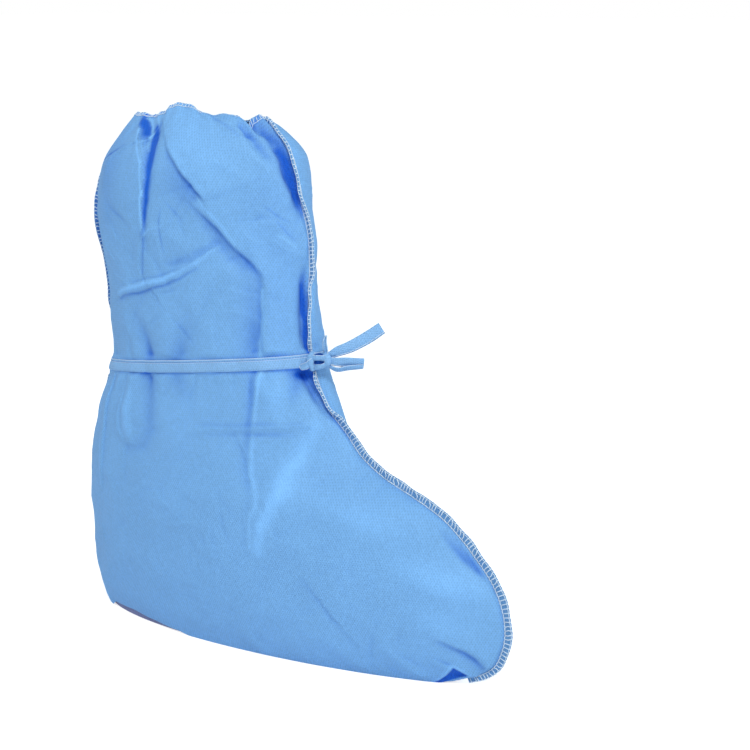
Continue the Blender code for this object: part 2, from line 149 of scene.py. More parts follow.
# level, back, front, width, widest, back_round, front_round, turn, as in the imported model
SECTIONS = np.array((
    (0.000, -0.498, 0.400, 0.64, 0.40, 0.90, 0.35, 0.000),
    (0.015, -0.508, 0.432, 0.69, 0.42, 0.90, 0.35, 0.000),
    (0.040, -0.519, 0.464, 0.76, 0.43, 0.90, 0.30, 0.000),
    (0.080, -0.526, 0.486, 0.82, 0.43, 0.90, 0.30, 0.000),
    (0.120, -0.531, 0.491, 0.86, 0.43, 0.90, 0.25, 0.000),
    (0.160, -0.535, 0.482, 0.88, 0.43, 0.90, 0.20, 0.000),
    (0.200, -0.538, 0.460, 0.89, 0.43, 0.90, 0.15, 0.000),
    (0.240, -0.539, 0.422, 0.90, 0.43, 0.90, 0.10, 0.000),
    (0.270, -0.538, 0.389, 0.90, 0.43, 0.90, 0.10, 0.000),
    (0.300, -0.534, 0.345, 0.90, 0.43, 0.90, 0.10, 0.000),
    (0.325, -0.528, 0.287, 0.89, 0.43, 0.90, 0.10, 0.000),
    (0.350, -0.520, 0.222, 0.88, 0.44, 0.90, 0.15, 0.000),
    (0.380, -0.508, 0.170, 0.87, 0.45, 0.90, 0.30, 0.000),
    (0.420, -0.499, 0.131, 0.84, 0.47, 0.90, 0.60, 0.000),
    (0.470, -0.477, 0.098, 0.80, 0.49, 0.85, 0.90, 0.020),
    (0.520, -0.462, 0.071, 0.77, 0.50, 0.85, 1.00, 0.025),
    (0.560, -0.464, 0.059, 0.77, 0.50, 0.85, 1.00, 0.025),
    (0.620, -0.474, 0.048, 0.80, 0.50, 0.85, 0.95, 0.015),
    (0.700, -0.487, 0.041, 0.86, 0.50, 0.65, 0.75, 0.000),
    (0.780, -0.511, 0.038, 0.92, 0.50, 0.45, 0.70, 0.000),
    (0.840, -0.500, 0.024, 0.95, 0.50, 0.45, 0.95, 0.000),
    (0.890, -0.473, 0.018, 0.93, 0.50, 0.65, 1.05, 0.012),
    (0.930, -0.446, 0.006, 0.84, 0.50, 0.80, 1.05, 0.016),
    (0.965, -0.415, -0.022, 0.70, 0.50, 0.90, 1.00, 0.012),
    (1.000, -0.385, -0.073, 0.52, 0.50, 0.95, 1.00, 0.000),
))

# The upright line that packaging pressed into the near panel, a path as in the next tables
PACK_LINE = ((818, 540, 0.8), (790, 493, 1), (748, 438, 1), (707, 383, 0.9), (642, 332, 0.8),
             (578, 278, 0.7), (546, 218, 0.4))
# One row for each fold: its form, its depth, breadth and the softness of its edge in millimetres,
# and a path of points, each a run and a row in thousandths, and a strength. run goes from the back
# seam to the front seam, row from the floor to the rim. A step or a tuck is raised on the left of
# its path, a flap's cloth drops on the right.
NEAR_FOLDS = (
    # name, form, depth, breadth, softness, path
    ("mouth_flap", "flap", 7.2, 15, 5.2,
     ((464, 770, 0.1), (472, 823, 0.4), (470, 882, 0.7), (424, 932, 1), (330, 975, 1.1), (282, 1000, 1.1))),
    ("y_fold", "step", 1.3, 6, 0.9, ((430, 715, 0.6), (422, 735, 1), (437, 755, 1), (470, 785, 1))),
    ("y_fork", "crease", 1.1, 2.6, 0.4, ((476, 787, 1), (506, 802, 1), (560, 808, 0.2))),
    ("diagonal_top", "step", 4.2, 19, 1,
     ((520, 948, 0.4), (553, 930, 0.8), (592, 914, 1), (642, 887, 1.1), (686, 860, 1), (694, 848, 0.3))),
    ("diagonal_low", "step", 2.3, 15, 0.6,
     ((664, 838, 0.4), (698, 822, 0.9), (730, 802, 1), (772, 768, 1), (816, 742, 1.1), (846, 720, 0.9),
      (852, 700, 0.4))),
    ("diagonal_shade", "soft", -3.4, 8, 0, ((700, 800, 0.6), (740, 765, 1), (790, 735, 0.8))),
    ("front_line", "step", 3.2, 14, 1.4,
     ((836, 726, 0.3), (850, 695, 0.7), (850, 650, 1), (846, 600, 1.1), (846, 572, 1.1))),
    ("ribbon", "soft", 1.7, 1.9, 0,
     ((276, 689, 0.6), (300, 692, 1), (410, 702, 1), (528, 715, 1), (640, 740, 0.9), (720, 768, 0.5))),
    ("ribbon_shelf", "step", 1, 10, 0.8, ((280, 680, 0.8), (410, 694, 1), (528, 707, 1), (640, 730, 0.4))),
    ("upper_valley", "crease", -1.2, 4.5, 0.5,
     ((540, 738, 0.5), (576, 743, 1), (652, 760, 1), (720, 777, 0.6))),
    ("rim_crease_a", "step", 1.2, 6, 0.6,
     ((870, 935, 0.5), (836, 955, 1), (782, 972, 1), (696, 977, 1), (645, 1000, 0.8))),
    ("rim_crease_b", "step", 1.2, 5.5, 0.6, ((830, 968, 0.6), (754, 982, 1), (710, 1000, 1))),
    ("notch_fold", "step", 3, 6, 0.7, ((892, 972, 0.8), (876, 985, 1), (862, 1000, 1))),
    ("front_patch", "soft", -3.8, 4.6, 0, ((850, 972, 0.9), (876, 957, 1), (900, 932, 0.6))),
    ("front_light", "crease", 1.3, 6, 0.5, ((850, 925, 0.4), (880, 912, 1), (930, 880, 1), (975, 845, 0.6))),
    ("crinkle_a", "crease", -0.8, 3, 0.4, ((870, 817, 0.6), (905, 817, 1), (928, 800, 1), (950, 782, 0.6))),
    ("crinkle_b", "crease", 1.1, 3, 0.4, ((890, 776, 0.6), (925, 762, 1), (972, 752, 0.6))),
    ("crinkle_c", "crease", 0.8, 3, 0.4, ((800, 800, 0.5), (824, 780, 1), (860, 770, 0.6))),
    ("seam_groove_top", "soft", -7.2, 6.2, 0,
     ((930, 990, 0.8), (948, 965, 0.9), (960, 930, 1), (972, 885, 1), (984, 850, 0.7), (990, 820, 0.2))),
    ("seam_groove", "soft", -6.6, 4.8, 0,
     ((985, 730, 0.1), (978, 690, 0.8), (976, 640, 1), (980, 600, 0.8), (988, 568, 0.5))),
    ("seam_groove_low", "soft", -6.2, 4.8, 0, ((970, 540, 1), (975, 500, 1), (985, 455, 0.3))),
    ("back_hollow", "soft", -5, 18, 0, ((110, 845, 0.2), (105, 800, 1), (100, 690, 1), (100, 640, 0.2))),
    ("back_line", "step", 1.6, 9, 0.7, ((345, 936, 0.6), (278, 925, 1), (185, 908, 1))),
    ("back_mark", "crease", -0.8, 3.5, 0.4, ((300, 840, 0.6), (366, 820, 1), (402, 803, 0.6))),
    ("side_mark", "crease", -0.9, 3, 0.4, ((586, 832, 0.6), (610, 808, 1), (622, 790, 0.6))),
    ("side_crumple", "crease", 0.9, 3, 0.4, ((512, 805, 0.6), (528, 772, 1), (520, 740, 0.6))),
    ("shaft_wedge_a", "soft", -3.6, 7.5, 0, ((362, 640, 0.4), (382, 600, 0.9), (394, 566, 1.1))),
    ("shaft_wedge_b", "soft", -2.2, 10, 0, ((590, 640, 0.3), (560, 600, 0.9), (526, 566, 1.1))),
    ("shaft_wedge_c", "soft", -3.2, 8, 0,
     ((822, 680, 0.3), (818, 637, 0.8), (810, 600, 1), (800, 566, 1.1))),
    ("shaft_swell", "soft", 2.2, 11, 0, ((500, 640, 0.6), (480, 600, 1), (480, 575, 1))),
    ("foot_valley", "soft", -2.2, 9, 0,
     ((378, 548, 0.9), (396, 492, 1), (402, 437, 0.9), (366, 403, 0.8), (302, 388, 0.5))),
    ("foot_lobe", "soft", 2.6, 5.5, 0, ((300, 535, 1), (296, 470, 1), (312, 415, 0.7))),
    ("lobe_rim", "crease", 1.2, 2.2, 0.3,
     ((262, 520, 0.6), (256, 470, 0.9), (258, 428, 0.9), (288, 402, 0.7), (340, 404, 0.4), (372, 436, 0.2))),
    ("lobe_hollow", "soft", -0.7, 6, 0, ((306, 400, 0.5), (356, 395, 1), (400, 410, 0.5))),
    ("foot_wedge_b", "soft", -2.2, 5.5, 0, ((592, 545, 1), (570, 503, 0.9), (560, 480, 0.2))),
    ("foot_wedge_c", "soft", -2.6, 6, 0, ((950, 545, 1.1), (918, 510, 0.9), (880, 480, 0.3))),
    ("foot_edge", "step", 1.8, 12, 0.8, ((738, 457, 0.6), (772, 502, 1), (790, 548, 1))),
    ("foot_swell", "soft", 2.8, 11, 0, ((860, 545, 1), (850, 500, 1), (850, 470, 0.4))),
    ("knot_hollow", "soft", -4, 6, 0, ((955, 540, 1), (950, 515, 0.5))),
    ("heel_line", "step", 1.7, 8, 0.7,
     ((150, 300, 0.4), (176, 390, 0.9), (186, 450, 1), (176, 500, 1), (170, 545, 0.8))),
    ("pack_upright", "press", 1, 3, 0.3, PACK_LINE),
    ("pack_shade", "soft", -1.1, 5.5, 0, PACK_LINE),
    ("pack_level", "press", 1.6, 2.6, 0.3,
     ((546, 433, 0.4), (614, 439, 0.9), (740, 441, 1), (914, 444, 0.8))),
    ("pack_level_low", "press", -1, 2.6, 0.3, ((614, 428, 0.6), (740, 430, 1), (860, 432, 0.7))),
    ("instep_light", "soft", 1.4, 8, 0,
     ((942, 452, 0.6), (868, 410, 1), (744, 345, 1), (604, 258, 0.9), (556, 198, 0.3))),
    ("instep_edge", "step", 1, 14, 1.8, ((556, 200, 0.4), (600, 262, 1), (740, 352, 1), (864, 418, 0.6))),
    ("toe_dent", "soft", -2.2, 5, 0, ((998, 260, 0.6), (994, 240, 1), (993, 222, 1), (996, 210, 0.5))),
    ("toe_swell", "soft", 3.4, 13, 0, ((876, 185, 0.7), (916, 190, 1), (950, 195, 0.8))),
    ("toe_line", "step", 3.4, 10, 1.4, ((900, 90, 0.4), (932, 79, 1), (960, 64, 1), (990, 40, 0.8))),
    ("gusset_line", "crease", 1.2, 2.6, 0.3, ((890, 52, 0.6), (918, 42, 1), (938, 34, 1))),
)
FAR_FOLDS = (
    # name, form, depth, breadth, softness, path
    ("mouth_tuck", "tuck", 8.5, 7, 0.8, ((540, 800, 0.1), (553, 860, 0.6), (550, 920, 1), (520, 1000, 1.1))),
    ("mouth_ridge", "crease", 3.6, 8, 0.8, ((660, 980, 1), (620, 870, 1), (600, 760, 0.4))),
    ("back_dent", "soft", -5.4, 7, 0, ((200, 980, 1), (240, 890, 0.6))),
    ("shaft_ridge", "step", 4.6, 18, 2, ((360, 910, 0.4), (460, 800, 1), (600, 700, 0.5))),
    ("shaft_crease", "step", 2.2, 14, 0.8, ((580, 630, 0.4), (640, 750, 1), (720, 840, 0.5))),
    ("shaft_line", "crease", 1.4, 4, 0.5, ((220, 700, 0.5), (380, 720, 1), (520, 690, 0.4))),
    ("front_hollow", "soft", -2.6, 9, 0, ((800, 730, 0.6), (840, 620, 1))),
    ("front_pleat", "soft", -3.8, 4.6, 0, ((800, 640, 0.4), (790, 570, 1.1))),
    ("back_pleat", "soft", -3.6, 4.6, 0, ((300, 640, 0.4), (320, 570, 1.1))),
    ("ankle_pleat", "step", 4.6, 9, 1.8, ((430, 390, 0.4), (420, 460, 1), (450, 545, 1))),
    ("ankle_lobe", "soft", 2.6, 8.5, 0, ((580, 540, 1), (560, 410, 0.5))),
    ("foot_pleat", "soft", -3, 4.6, 0, ((700, 545, 1), (690, 490, 0.5))),
    ("instep_fold", "crease", 2.6, 8, 0.8, ((800, 540, 1), (740, 450, 1), (600, 310, 0.3))),
    ("heel_line", "step", 1.6, 8, 0.8, ((150, 280, 0.4), (180, 420, 1), (170, 520, 0.8))),
    ("pack_upright", "press", 1, 2.6, 0.3, ((680, 480, 0.8), (620, 350, 1), (560, 200, 0.4))),
    ("pack_level", "press", 1, 2.2, 0.3, ((400, 430, 0.6), (620, 440, 1), (860, 440, 0.6))),
    ("foot_fold", "crease", 2.4, 9, 1, ((400, 260, 0.4), (580, 200, 1), (740, 180, 0.4))),
    ("toe_dent", "soft", -3.6, 5, 0, ((950, 270, 1), (965, 210, 0.8))),
    ("toe_line", "step", 2.2, 10, 1.2, ((900, 90, 0.4), (950, 70, 1), (990, 40, 0.8))),
)
# One row for each stretch of cloth where shade is painted beside a fold, or a highlight on a ridge: how
# far the painted tone spreads on the left of its path and on the right, millimetres, and the path. Below 0
# a strength paints a highlight instead of shade.
NEAR_PAINTED_SHADING = (
    # name, left, right, path
    ("flap", 2, 2.8,
     ((470, 787, 0.3), (480, 822, 0.6), (486, 852, 0.8), (482, 888, 0.9), (474, 917, 1), (458, 943, 1),
      (436, 968, 0.8))),
    ("flap_top", 4.2, 4.2, ((480, 900, 0.4), (468, 928, 0.9), (450, 956, 1), (440, 968, 0.8))),
    ("flap_edge", 1.2, 0.3, ((470, 800, -0.8), (474, 860, -1.4), (446, 910, -1.5), (350, 965, -1.4))),
    ("pocket", 3.2, 3.2, ((425, 945, 0.3), (390, 962, 1.1), (345, 978, 1.3), (315, 990, 0.9))),
    ("pocket_edge", 0.9, 0.9,
     ((405, 942, -0.5), (425, 958, -0.7), (400, 972, -1), (365, 986, -1.2), (330, 990, -0.9))),
    ("pocket_fold", 1, 1, ((450, 930, -0.4), (420, 955, -0.8), (445, 972, -0.7), (405, 992, -0.5))),
    ("groove_top", 4.6, 5,
     ((945, 985, 0.4), (970, 950, 0.7), (982, 917, 0.85), (988, 885, 0.9), (992, 850, 0.9),
      (998, 827, 0.6))),
    ("groove_low", 4.5, 2,
     ((972, 700, 0.1), (982, 665, 0.8), (990, 628, 0.9), (990, 593, 0.9), (990, 570, 0.8))),
    ("below_knot", 3, 2, ((992, 530, 0.8), (994, 487, 0.7), (994, 455, 0.6), (996, 415, 0.2))),
    ("triangle", 0.7, 15,
     ((548, 930, 0.12), (592, 914, 0.26), (642, 887, 0.36), (686, 860, 0.38), (692, 850, 0.1))),
    ("diagonal_pale", 4, 0.3, ((553, 928, -0.3), (592, 914, -0.45), (642, 887, -0.45), (690, 858, -0.35))),
    ("low_line", 4, 1.1,
     ((846, 720, 0.2), (816, 740, 0.3), (772, 768, 0.3), (728, 802, 0.28), (692, 822, 0.2),
      (660, 838, 0.1))),
    ("low_ridge", 1.2, 1.2, ((674, 858, -0.4), (700, 834, -0.6), (740, 810, -0.6), (780, 776, -0.4))),
    ("front_line", 14, 1,
     ((822, 572, 0.26), (834, 618, 0.22), (840, 653, 0.2), (842, 690, 0.15), (836, 717, 0.1))),
    ("front_ridge", 1, 2, ((836, 572, -0.3), (846, 618, -0.5), (850, 690, -0.5))),
    ("ribbon", 1.9, 1.9,
     ((282, 688, -0.4), (310, 692, -0.6), (406, 701, -0.6), (524, 714, -0.6), (640, 740, -0.5),
      (710, 764, -0.3))),
    ("ribbon_line", 0.6, 1.2, ((284, 681, 0.5), (420, 692, 0.5), (540, 707, 0.45), (650, 733, 0.2))),
    ("ribbon_top", 0.8, 0.8,
     ((380, 707, 0.15), (524, 721, 0.3), (606, 736, 0.35), (680, 758, 0.3), (730, 775, 0.1))),
    ("valley", 3, 1.2, ((540, 738, 0.1), (612, 745, 0.15), (666, 757, 0.2), (718, 770, 0.2))),
    ("y_line", 0.6, 1.1, ((428, 722, 0.4), (446, 750, 0.4), (464, 772, 0.5), (476, 790, 0.3))),
    ("fork", 0.7, 0.7, ((470, 785, -0.4), (500, 800, -0.6), (544, 805, -0.3))),
    ("side_line", 0.7, 0.7, ((550, 837, 0.1), (540, 812, 0.4), (542, 785, 0.4), (540, 760, 0.15))),
    ("side_slant", 0.8, 0.8, ((564, 847, 0.1), (596, 828, 0.35), (622, 812, 0.1))),
    ("back_slant", 0.7, 0.7, ((296, 835, 0.1), (350, 823, 0.35), (396, 812, 0.1))),
    ("front_slant", 0.7, 0.7, ((866, 842, 0.1), (902, 822, 0.35), (944, 808, 0.2))),
    ("front_dent", 0.7, 0.7, ((906, 810, 0.2), (934, 787, 0.4), (956, 775, 0.1))),
    ("front_spark", 0.8, 0.8, ((904, 786, -0.2), (924, 777, -0.5), (954, 763, -0.4))),
    ("patch", 4, 4, ((850, 980, 0.1), (872, 962, 0.25), (896, 942, 0.25), (915, 920, 0.1))),
    ("rim_line", 1.8, 1, ((700, 998, 0.3), (738, 980, 0.3), (772, 967, 0.3), (816, 955, 0.2))),
    ("left_line", 0.8, 0.8, ((114, 908, 0.7), (234, 920, 0.6), (306, 938, 0.3))),
    ("wedge_a", 7, 6, ((362, 630, 0.1), (382, 600, 0.25), (394, 570, 0.35))),
    ("wedge_b", 7, 7, ((585, 625, 0.1), (554, 593, 0.2), (526, 572, 0.3))),
    ("foot_valley", 6.5, 8,
     ((382, 545, 0.4), (396, 510, 0.22), (404, 470, 0.2), (404, 437, 0.18), (372, 403, 0.1),
      (310, 388, 0.06))),
    ("fold_mouth", 2.4, 2.4, ((346, 543, 0.5), (384, 543, 0.5))),
    ("lobe", 5.5, 5.5, ((300, 500, -0.25), (300, 468, -0.35), (310, 427, -0.3))),
    ("under_tie", 1.2, 1.2,
     ((200, 543, 0.2), (484, 543.5, 0.35), (700, 543.5, 0.45), (820, 543.5, 0.5), (990, 543.5, 0.5))),
    ("over_tie", 1, 1, ((200, 569, 0.15), (500, 569, 0.2), (990, 569, 0.35))),
    ("knot_shade", 4, 4, ((920, 538, 0.4), (950, 534, 0.6), (980, 534, 0.7))),
    ("foot_dark", 6, 6, ((960, 538, 0.4), (918, 510, 0.3), (886, 487, 0.1))),
    ("foot_mid", 7, 7, ((510, 545, 0.3), (536, 515, 0.15), (560, 490, 0.05))),
    ("upright_dark", 5, 1.2,
     ((636, 335, 0.1), (702, 385, 0.15), (742, 440, 0.2), (782, 495, 0.3), (810, 543, 0.35))),
    ("upright_pale", 1.4, 1.4,
     ((550, 218, -0.2), (582, 278, -0.4), (646, 332, -0.5), (711, 383, -0.5), (738, 420, -0.5))),
    ("upright_ridge", 0.8, 1.6, ((766, 457, -0.3), (800, 502, -0.6), (824, 540, -0.7))),
    ("panel_pale", 9, 7, ((832, 528, -0.3), (854, 505, -0.4), (840, 470, -0.3))),
    ("level_dark", 1.4, 2.4,
     ((602, 448, 0.1), (684, 448, 0.14), (778, 450, 0.18), (864, 448, 0.16), (906, 448, 0.1))),
    ("level_low", 1.2, 2.2, ((748, 430, 0.1), (804, 429, 0.16), (866, 427, 0.1))),
    ("band_pale", 4.4, 4,
     ((938, 448, -0.3), (848, 392, -0.6), (762, 353, -0.75), (662, 313, -0.8), (606, 272, -0.75),
      (564, 220, -0.5))),
    ("heel_pale", 1, 1.4, ((158, 400, -0.3), (154, 350, -0.6), (142, 295, -0.4))),
    ("toe_dent", 5, 3.2, ((976, 266, 0.2), (978, 248, 0.5), (980, 232, 0.6), (986, 216, 0.4))),
    ("toe_pale", 12, 12, ((860, 212, -0.3), (895, 200, -0.5), (930, 190, -0.5), (960, 188, -0.3))),
    ("toe_pale_high", 11, 11, ((790, 305, -0.2), (835, 292, -0.4), (880, 282, -0.2))),
    ("toe_pale_low", 11, 11, ((850, 140, -0.2), (890, 128, -0.35), (930, 120, -0.2))),
    ("gusset_line", 0.8, 0.8, ((888, 56, 0.1), (912, 50, 0.4), (926, 46, 0.4))),
    ("gusset_edge", 0.9, 0.9, ((936, -6, -0.9), (924, 46, -0.9), (950, 38, -0.9), (976, 25, -0.7))),
    ("crown_pale", 20, 20, ((520, 975, -0.2), (620, 950, -0.3), (720, 930, -0.2))),
    ("back_dark", 16, 16, ((210, 945, 0.12), (262, 900, 0.18), (290, 830, 0.12))),
    ("front_dark", 26, 26, ((910, 840, 0.08), (910, 640, 0.1))),
    ("toe_line", 1.2, 2.8, ((892, 92, 0.2), (925, 80, 0.4), (955, 64, 0.45), (985, 44, 0.2))),
)
FAR_PAINTED_SHADING = (
    # name, left, right, path
    ("mouth_tuck", 2, 5, ((553, 860, 0.3), (550, 920, 0.8), (530, 985, 0.8))),
    ("shaft_ridge", 1.2, 8, ((380, 890, 0.1), (460, 800, 0.4), (580, 710, 0.2))),
    ("back_pleat", 4.5, 4.5, ((300, 620, 0.1), (320, 570, 0.5))),
    ("front_pleat", 4.5, 4.5, ((800, 620, 0.1), (790, 570, 0.5))),
    ("ankle_pleat", 1.2, 6, ((420, 420, 0.1), (420, 470, 0.35), (450, 545, 0.5))),
    ("under_tie", 1.2, 1.2, ((50, 543.5, 0.3), (990, 543.5, 0.4))),
    ("pack_level", 1.4, 2.2, ((400, 430, 0.1), (620, 440, 0.3), (860, 440, 0.1))),
    ("pack_upright", 1.4, 1.4, ((680, 480, -0.3), (620, 350, -0.6), (560, 200, -0.2))),
    ("toe_dent", 4.2, 4.2, ((960, 262, 0.3), (965, 220, 0.4))),
)

# Rises of the rim above COVER_HEIGHT by run, millimetres. The far rim lies lower than the near one.
NEAR_RIM = ((0, -10), (0.06, -11.5), (0.12, -9), (0.2, -2.4), (0.255, -3.4), (0.31, -2.2), (0.345, -0.6),
            (0.405, 0.6), (0.455, 1.3), (0.505, 4.5), (0.56, 6.2), (0.615, 6.2), (0.675, 2.9), (0.73, 3),
            (0.79, 3.9), (0.825, 2.3), (0.865, -1), (0.9, -2), (0.94, -1.8), (0.985, -1.2), (1, -4.5))
FAR_RIM = ((0, -10), (0.05, -9.5), (0.12, -8.5), (0.2, -9), (0.36, -6), (0.48, -8.5), (0.6, -6),
           (0.72, -7.5), (0.86, -5.5), (0.95, -5), (1, -4.5))
# Where the near rim dips in a narrow notch: its run, half its breadth in runs, its depth in metres
NOTCH = (0.916, 0.022, 0.0075)
# How far the rim's cloth is rolled inwards by run, as a share
NEAR_CURL = ((0, 0.25), (0.4, 0.2), (0.6, 0.25), (0.66, 0.5), (0.7, 1), (0.84, 1), (0.87, 0.3), (1, 0.1))
FAR_CURL = ((0, 0.25), (0.2, 0.9), (0.45, 0.3), (0.6, 0.8), (0.8, 0.4), (1, 0.1))
# The corners of the small gusset pocket at the toe
GUSSET = ((0.940, -0.010), (0.977, 0.022), (0.927, 0.045))
# How far the lower edge is lifted off the floor by run, millimetres
NEAR_LIFT = ((0, 0), (0.055, 0), (0.09, 5.2), (0.17, 6.2), (0.23, 4.6), (0.31, 2.6), (0.36, 0.6),
             (0.4, 0), (0.945, 0), (0.975, 2.2), (1, 4.8))
FAR_LIFT = ((0, 0), (0.3, 0), (0.4, 2), (0.55, 0), (0.93, 0), (1, 6))
# How far the sewn edges lean towards the near side, degrees, by row from the floor to the rim
FRONT_LEAN = ((0, 0), (0.44, 0), (0.475, 38), (0.53, 44), (0.6, 44), (0.68, 44), (0.715, 5), (0.8, 5),
              (0.835, 44), (0.93, 54), (1, 62))
BACK_LEAN = ((0, 0), (0.645, 0), (0.69, 40), (0.81, 40), (0.86, -12), (1, 0))

# Rows of short pleats at the rim, above the tie and below it: which way they run, how many there
# are, the height they start from in metres, and their reach, depth and breadth in millimetres
PLEATS = (
    # way, count, start, reach, depth, breadth
    (-1, 14, COVER_HEIGHT + 0.004, 30, 2.0, 3.4),
    (1, 15, TIE_LEVEL * COVER_HEIGHT + TIE_WIDTH / 2, 20, 1.1, 3.0),
    (-1, 17, TIE_LEVEL * COVER_HEIGHT - TIE_WIDTH / 2, 24, 1.3, 3.2),
)
# Small sharp crumples on the shaft and on the foot: their random seed, how many there are, the
# heights that they lie between in metres, and their depth in millimetres
SHARP_CRUMPLES = (
    # seed, count, low, high, depth
    (6, 150, 0.235, 0.395, 1.0),
    (7, 70, 0.010, 0.215, 0.6),
)

TABLE_LEVELS = np.linspace(0, 1, 401)
TABLE_SHARES = np.linspace(0, 1, 241)


def smooth(value):
    """Goes from 0 to 1 as value does, with level ends."""
    t = np.clip(value, 0, 1)
    return t * t * (3 - 2 * t)


def unit(vectors):
    """The same directions, each one long."""
    return vectors / np.linalg.norm(vectors, axis=-1, keepdims=True)


def lengths_along(points):
    """How far each point lies from the first, along the line through them."""
    return np.concatenate([[0], np.cumsum(np.linalg.norm(np.diff(points, axis=0), axis=1))])


def along_table(table, run):
    """A value that runs smoothly through a table of (run, value) rows."""
    knots = np.array(table)
    row = np.clip(np.searchsorted(knots[:, 0], run) - 1, 0, len(knots) - 2)
    t = smooth((run - knots[row, 0]) / (knots[row + 1, 0] - knots[row, 0]))
    return knots[row, 1] * (1 - t) + knots[row + 1, 1] * t


def curve_through(knots, values, places):
    """Values at each place on a smooth curve that takes the given values at its knots."""
    slopes = np.gradient(values, knots, axis=0)
    row = np.clip(np.searchsorted(knots, places) - 1, 0, len(knots) - 2)
    span = (knots[row + 1] - knots[row])[:, None]
    t = (places - knots[row])[:, None] / span
    rise = t * t * (3 - 2 * t)
    return (values[row] * (1 - rise) + values[row + 1] * rise
            + slopes[row] * (t * (1 - t) ** 2 * span) + slopes[row + 1] * (t * t * (t - 1) * span))


def blended(table, i, j, a, b):
    """A table's value a share a past row i and a share b past column j."""
    return (table[i, j] * (1 - a) * (1 - b) + table[i + 1, j] * a * (1 - b)
            + table[i, j + 1] * (1 - a) * b + table[i + 1, j + 1] * a * b)


def outline_tables():
    """x and y of half outlines at every table level by share of girth, the girths and the turns."""
    rows = curve_through(SECTIONS[:, 0], SECTIONS, TABLE_LEVELS)
    share = (1 - np.cos(np.linspace(0, math.pi, 240))) / 2
    xs, ys, girths = [], [], []
    for _, back, front, width, widest, back_round, front_round, _ in rows:
        before = share < widest
        t = np.where(before, share / widest, (1 - share) / (1 - widest))
        power = np.where(before, 1 - back_round / 2, 1 - front_round / 2)
        x = (back + (front - back) * share) * COVER_LENGTH
        y = np.clip(1 - (1 - t) ** 2, 0, 1) ** power * width * COVER_WIDTH / 2
        girth = lengths_along(np.stack([x, y], -1))
        xs.append(np.interp(TABLE_SHARES * girth[-1], girth, x))
        ys.append(np.interp(TABLE_SHARES * girth[-1], girth, y))
        girths.append(girth[-1])
    return np.array(xs), np.array(ys), np.array(girths), rows[:, 7]


OUTLINE_X, OUTLINE_Y, GIRTHS, TURNS = outline_tables()


def look_up(table, level, share):
    """An outline table's value between its levels and shares."""
    a = np.clip(level, 0, 1) * (len(TABLE_LEVELS) - 1)
    b = np.clip(share, 0, 1) * (len(TABLE_SHARES) - 1)
    i = np.minimum(a.astype(int), len(TABLE_LEVELS) - 2)
    j = np.minimum(b.astype(int), len(TABLE_SHARES) - 2)
    return blended(table, i, j, a - i, b - j)


def girth_at(level):
    """Half the way round the cover at a level, metres."""
    return np.interp(level, TABLE_LEVELS, GIRTHS)


def level_at(run, row):
    """The level of a row of cloth, whose rows drop to the back around the ankle as the tie does."""
    pull = np.minimum(smooth(row / TIE_LEVEL), smooth((1 - row) / (1 - TIE_LEVEL)))
    return row - TIE_DROP * (1 - run) ** TIE_BEND * pull


def bare_points(side, run, row):
    """Points of the cover before its folds. side is -1 on the near panel, 1 on the far one."""
    level = level_at(run, row)
    share = run * (1 + side * np.interp(level, TABLE_LEVELS, TURNS))
    past = share > 1
    across = np.where(past, -side, side)
    share = np.where(past, 2 - share, share)
    rim = along_table(NEAR_RIM if side < 0 else FAR_RIM, run) / 1000
    return np.stack([look_up(OUTLINE_X, level, share),
                     across * look_up(OUTLINE_Y, level, share),
                     level * COVER_HEIGHT + rim * smooth((row - RIM_START) / (1 - RIM_START))], -1)


def outward(side, run, row):
    """The cover's outward direction at each point."""
    step = 0.004
    along = (bare_points(side, np.minimum(run + step, 1), row)
             - bare_points(side, np.maximum(run - step, 0), row))
    up = (bare_points(side, run, np.minimum(row + step, 1))
          - bare_points(side, run, np.maximum(row - step, 0)))
    return unit(np.cross(along, up) * -side)


def noise(x, y, cell, seed):
    """Smooth noise from -1 to 1 with cells of a given size."""
    cells = 128
    lattice = np.random.default_rng(seed).uniform(-1, 1, (cells, cells))
    a, b = x / cell + NOISE_ORIGIN, y / cell + NOISE_ORIGIN
    i, j = np.floor(a).astype(int), np.floor(b).astype(int)
    return blended(lattice, i % (cells - 1), j % (cells - 1), smooth(a - i), smooth(b - j))


def cloth_plane(run, row):
    """The girth at each point of cloth, and its place on the flat cloth, metres."""
    girth = girth_at(level_at(run, row))
    return girth, run * girth, row * COVER_HEIGHT


def beside(path, x, y, girth):
    """How far each point is from a path, how far on its left, the path's strength and its left way."""
    nearest = np.full(x.shape, FAR_AWAY)
    aside, strength, left_x, left_y = (np.zeros(x.shape) for _ in range(4))
    path = [(run / 1000, row / 1000, strong) for run, row, strong in path]
    for (run_a, row_a, strong_a), (run_b, row_b, strong_b) in zip(path, path[1:]):
        ax, ay = run_a * girth, row_a * COVER_HEIGHT
        wx, wy = (run_b - run_a) * girth, (row_b - row_a) * COVER_HEIGHT
        long = np.hypot(wx, wy)
        share = np.clip(((x - ax) * wx + (y - ay) * wy) / long ** 2, 0, 1)
        distance = np.hypot(x - ax - wx * share, y - ay - wy * share)
        closer = distance < nearest
        nearest = np.where(closer, distance, nearest)
        aside = np.where(closer, (wx * (y - ay) - wy * (x - ax)) / long, aside)
        strength = np.where(closer, strong_a + (strong_b - strong_a) * share, strength)
        left_x = np.where(closer, -wy / long, left_x)
        left_y = np.where(closer, wx / long, left_y)
    return nearest, aside, strength, left_x, left_y


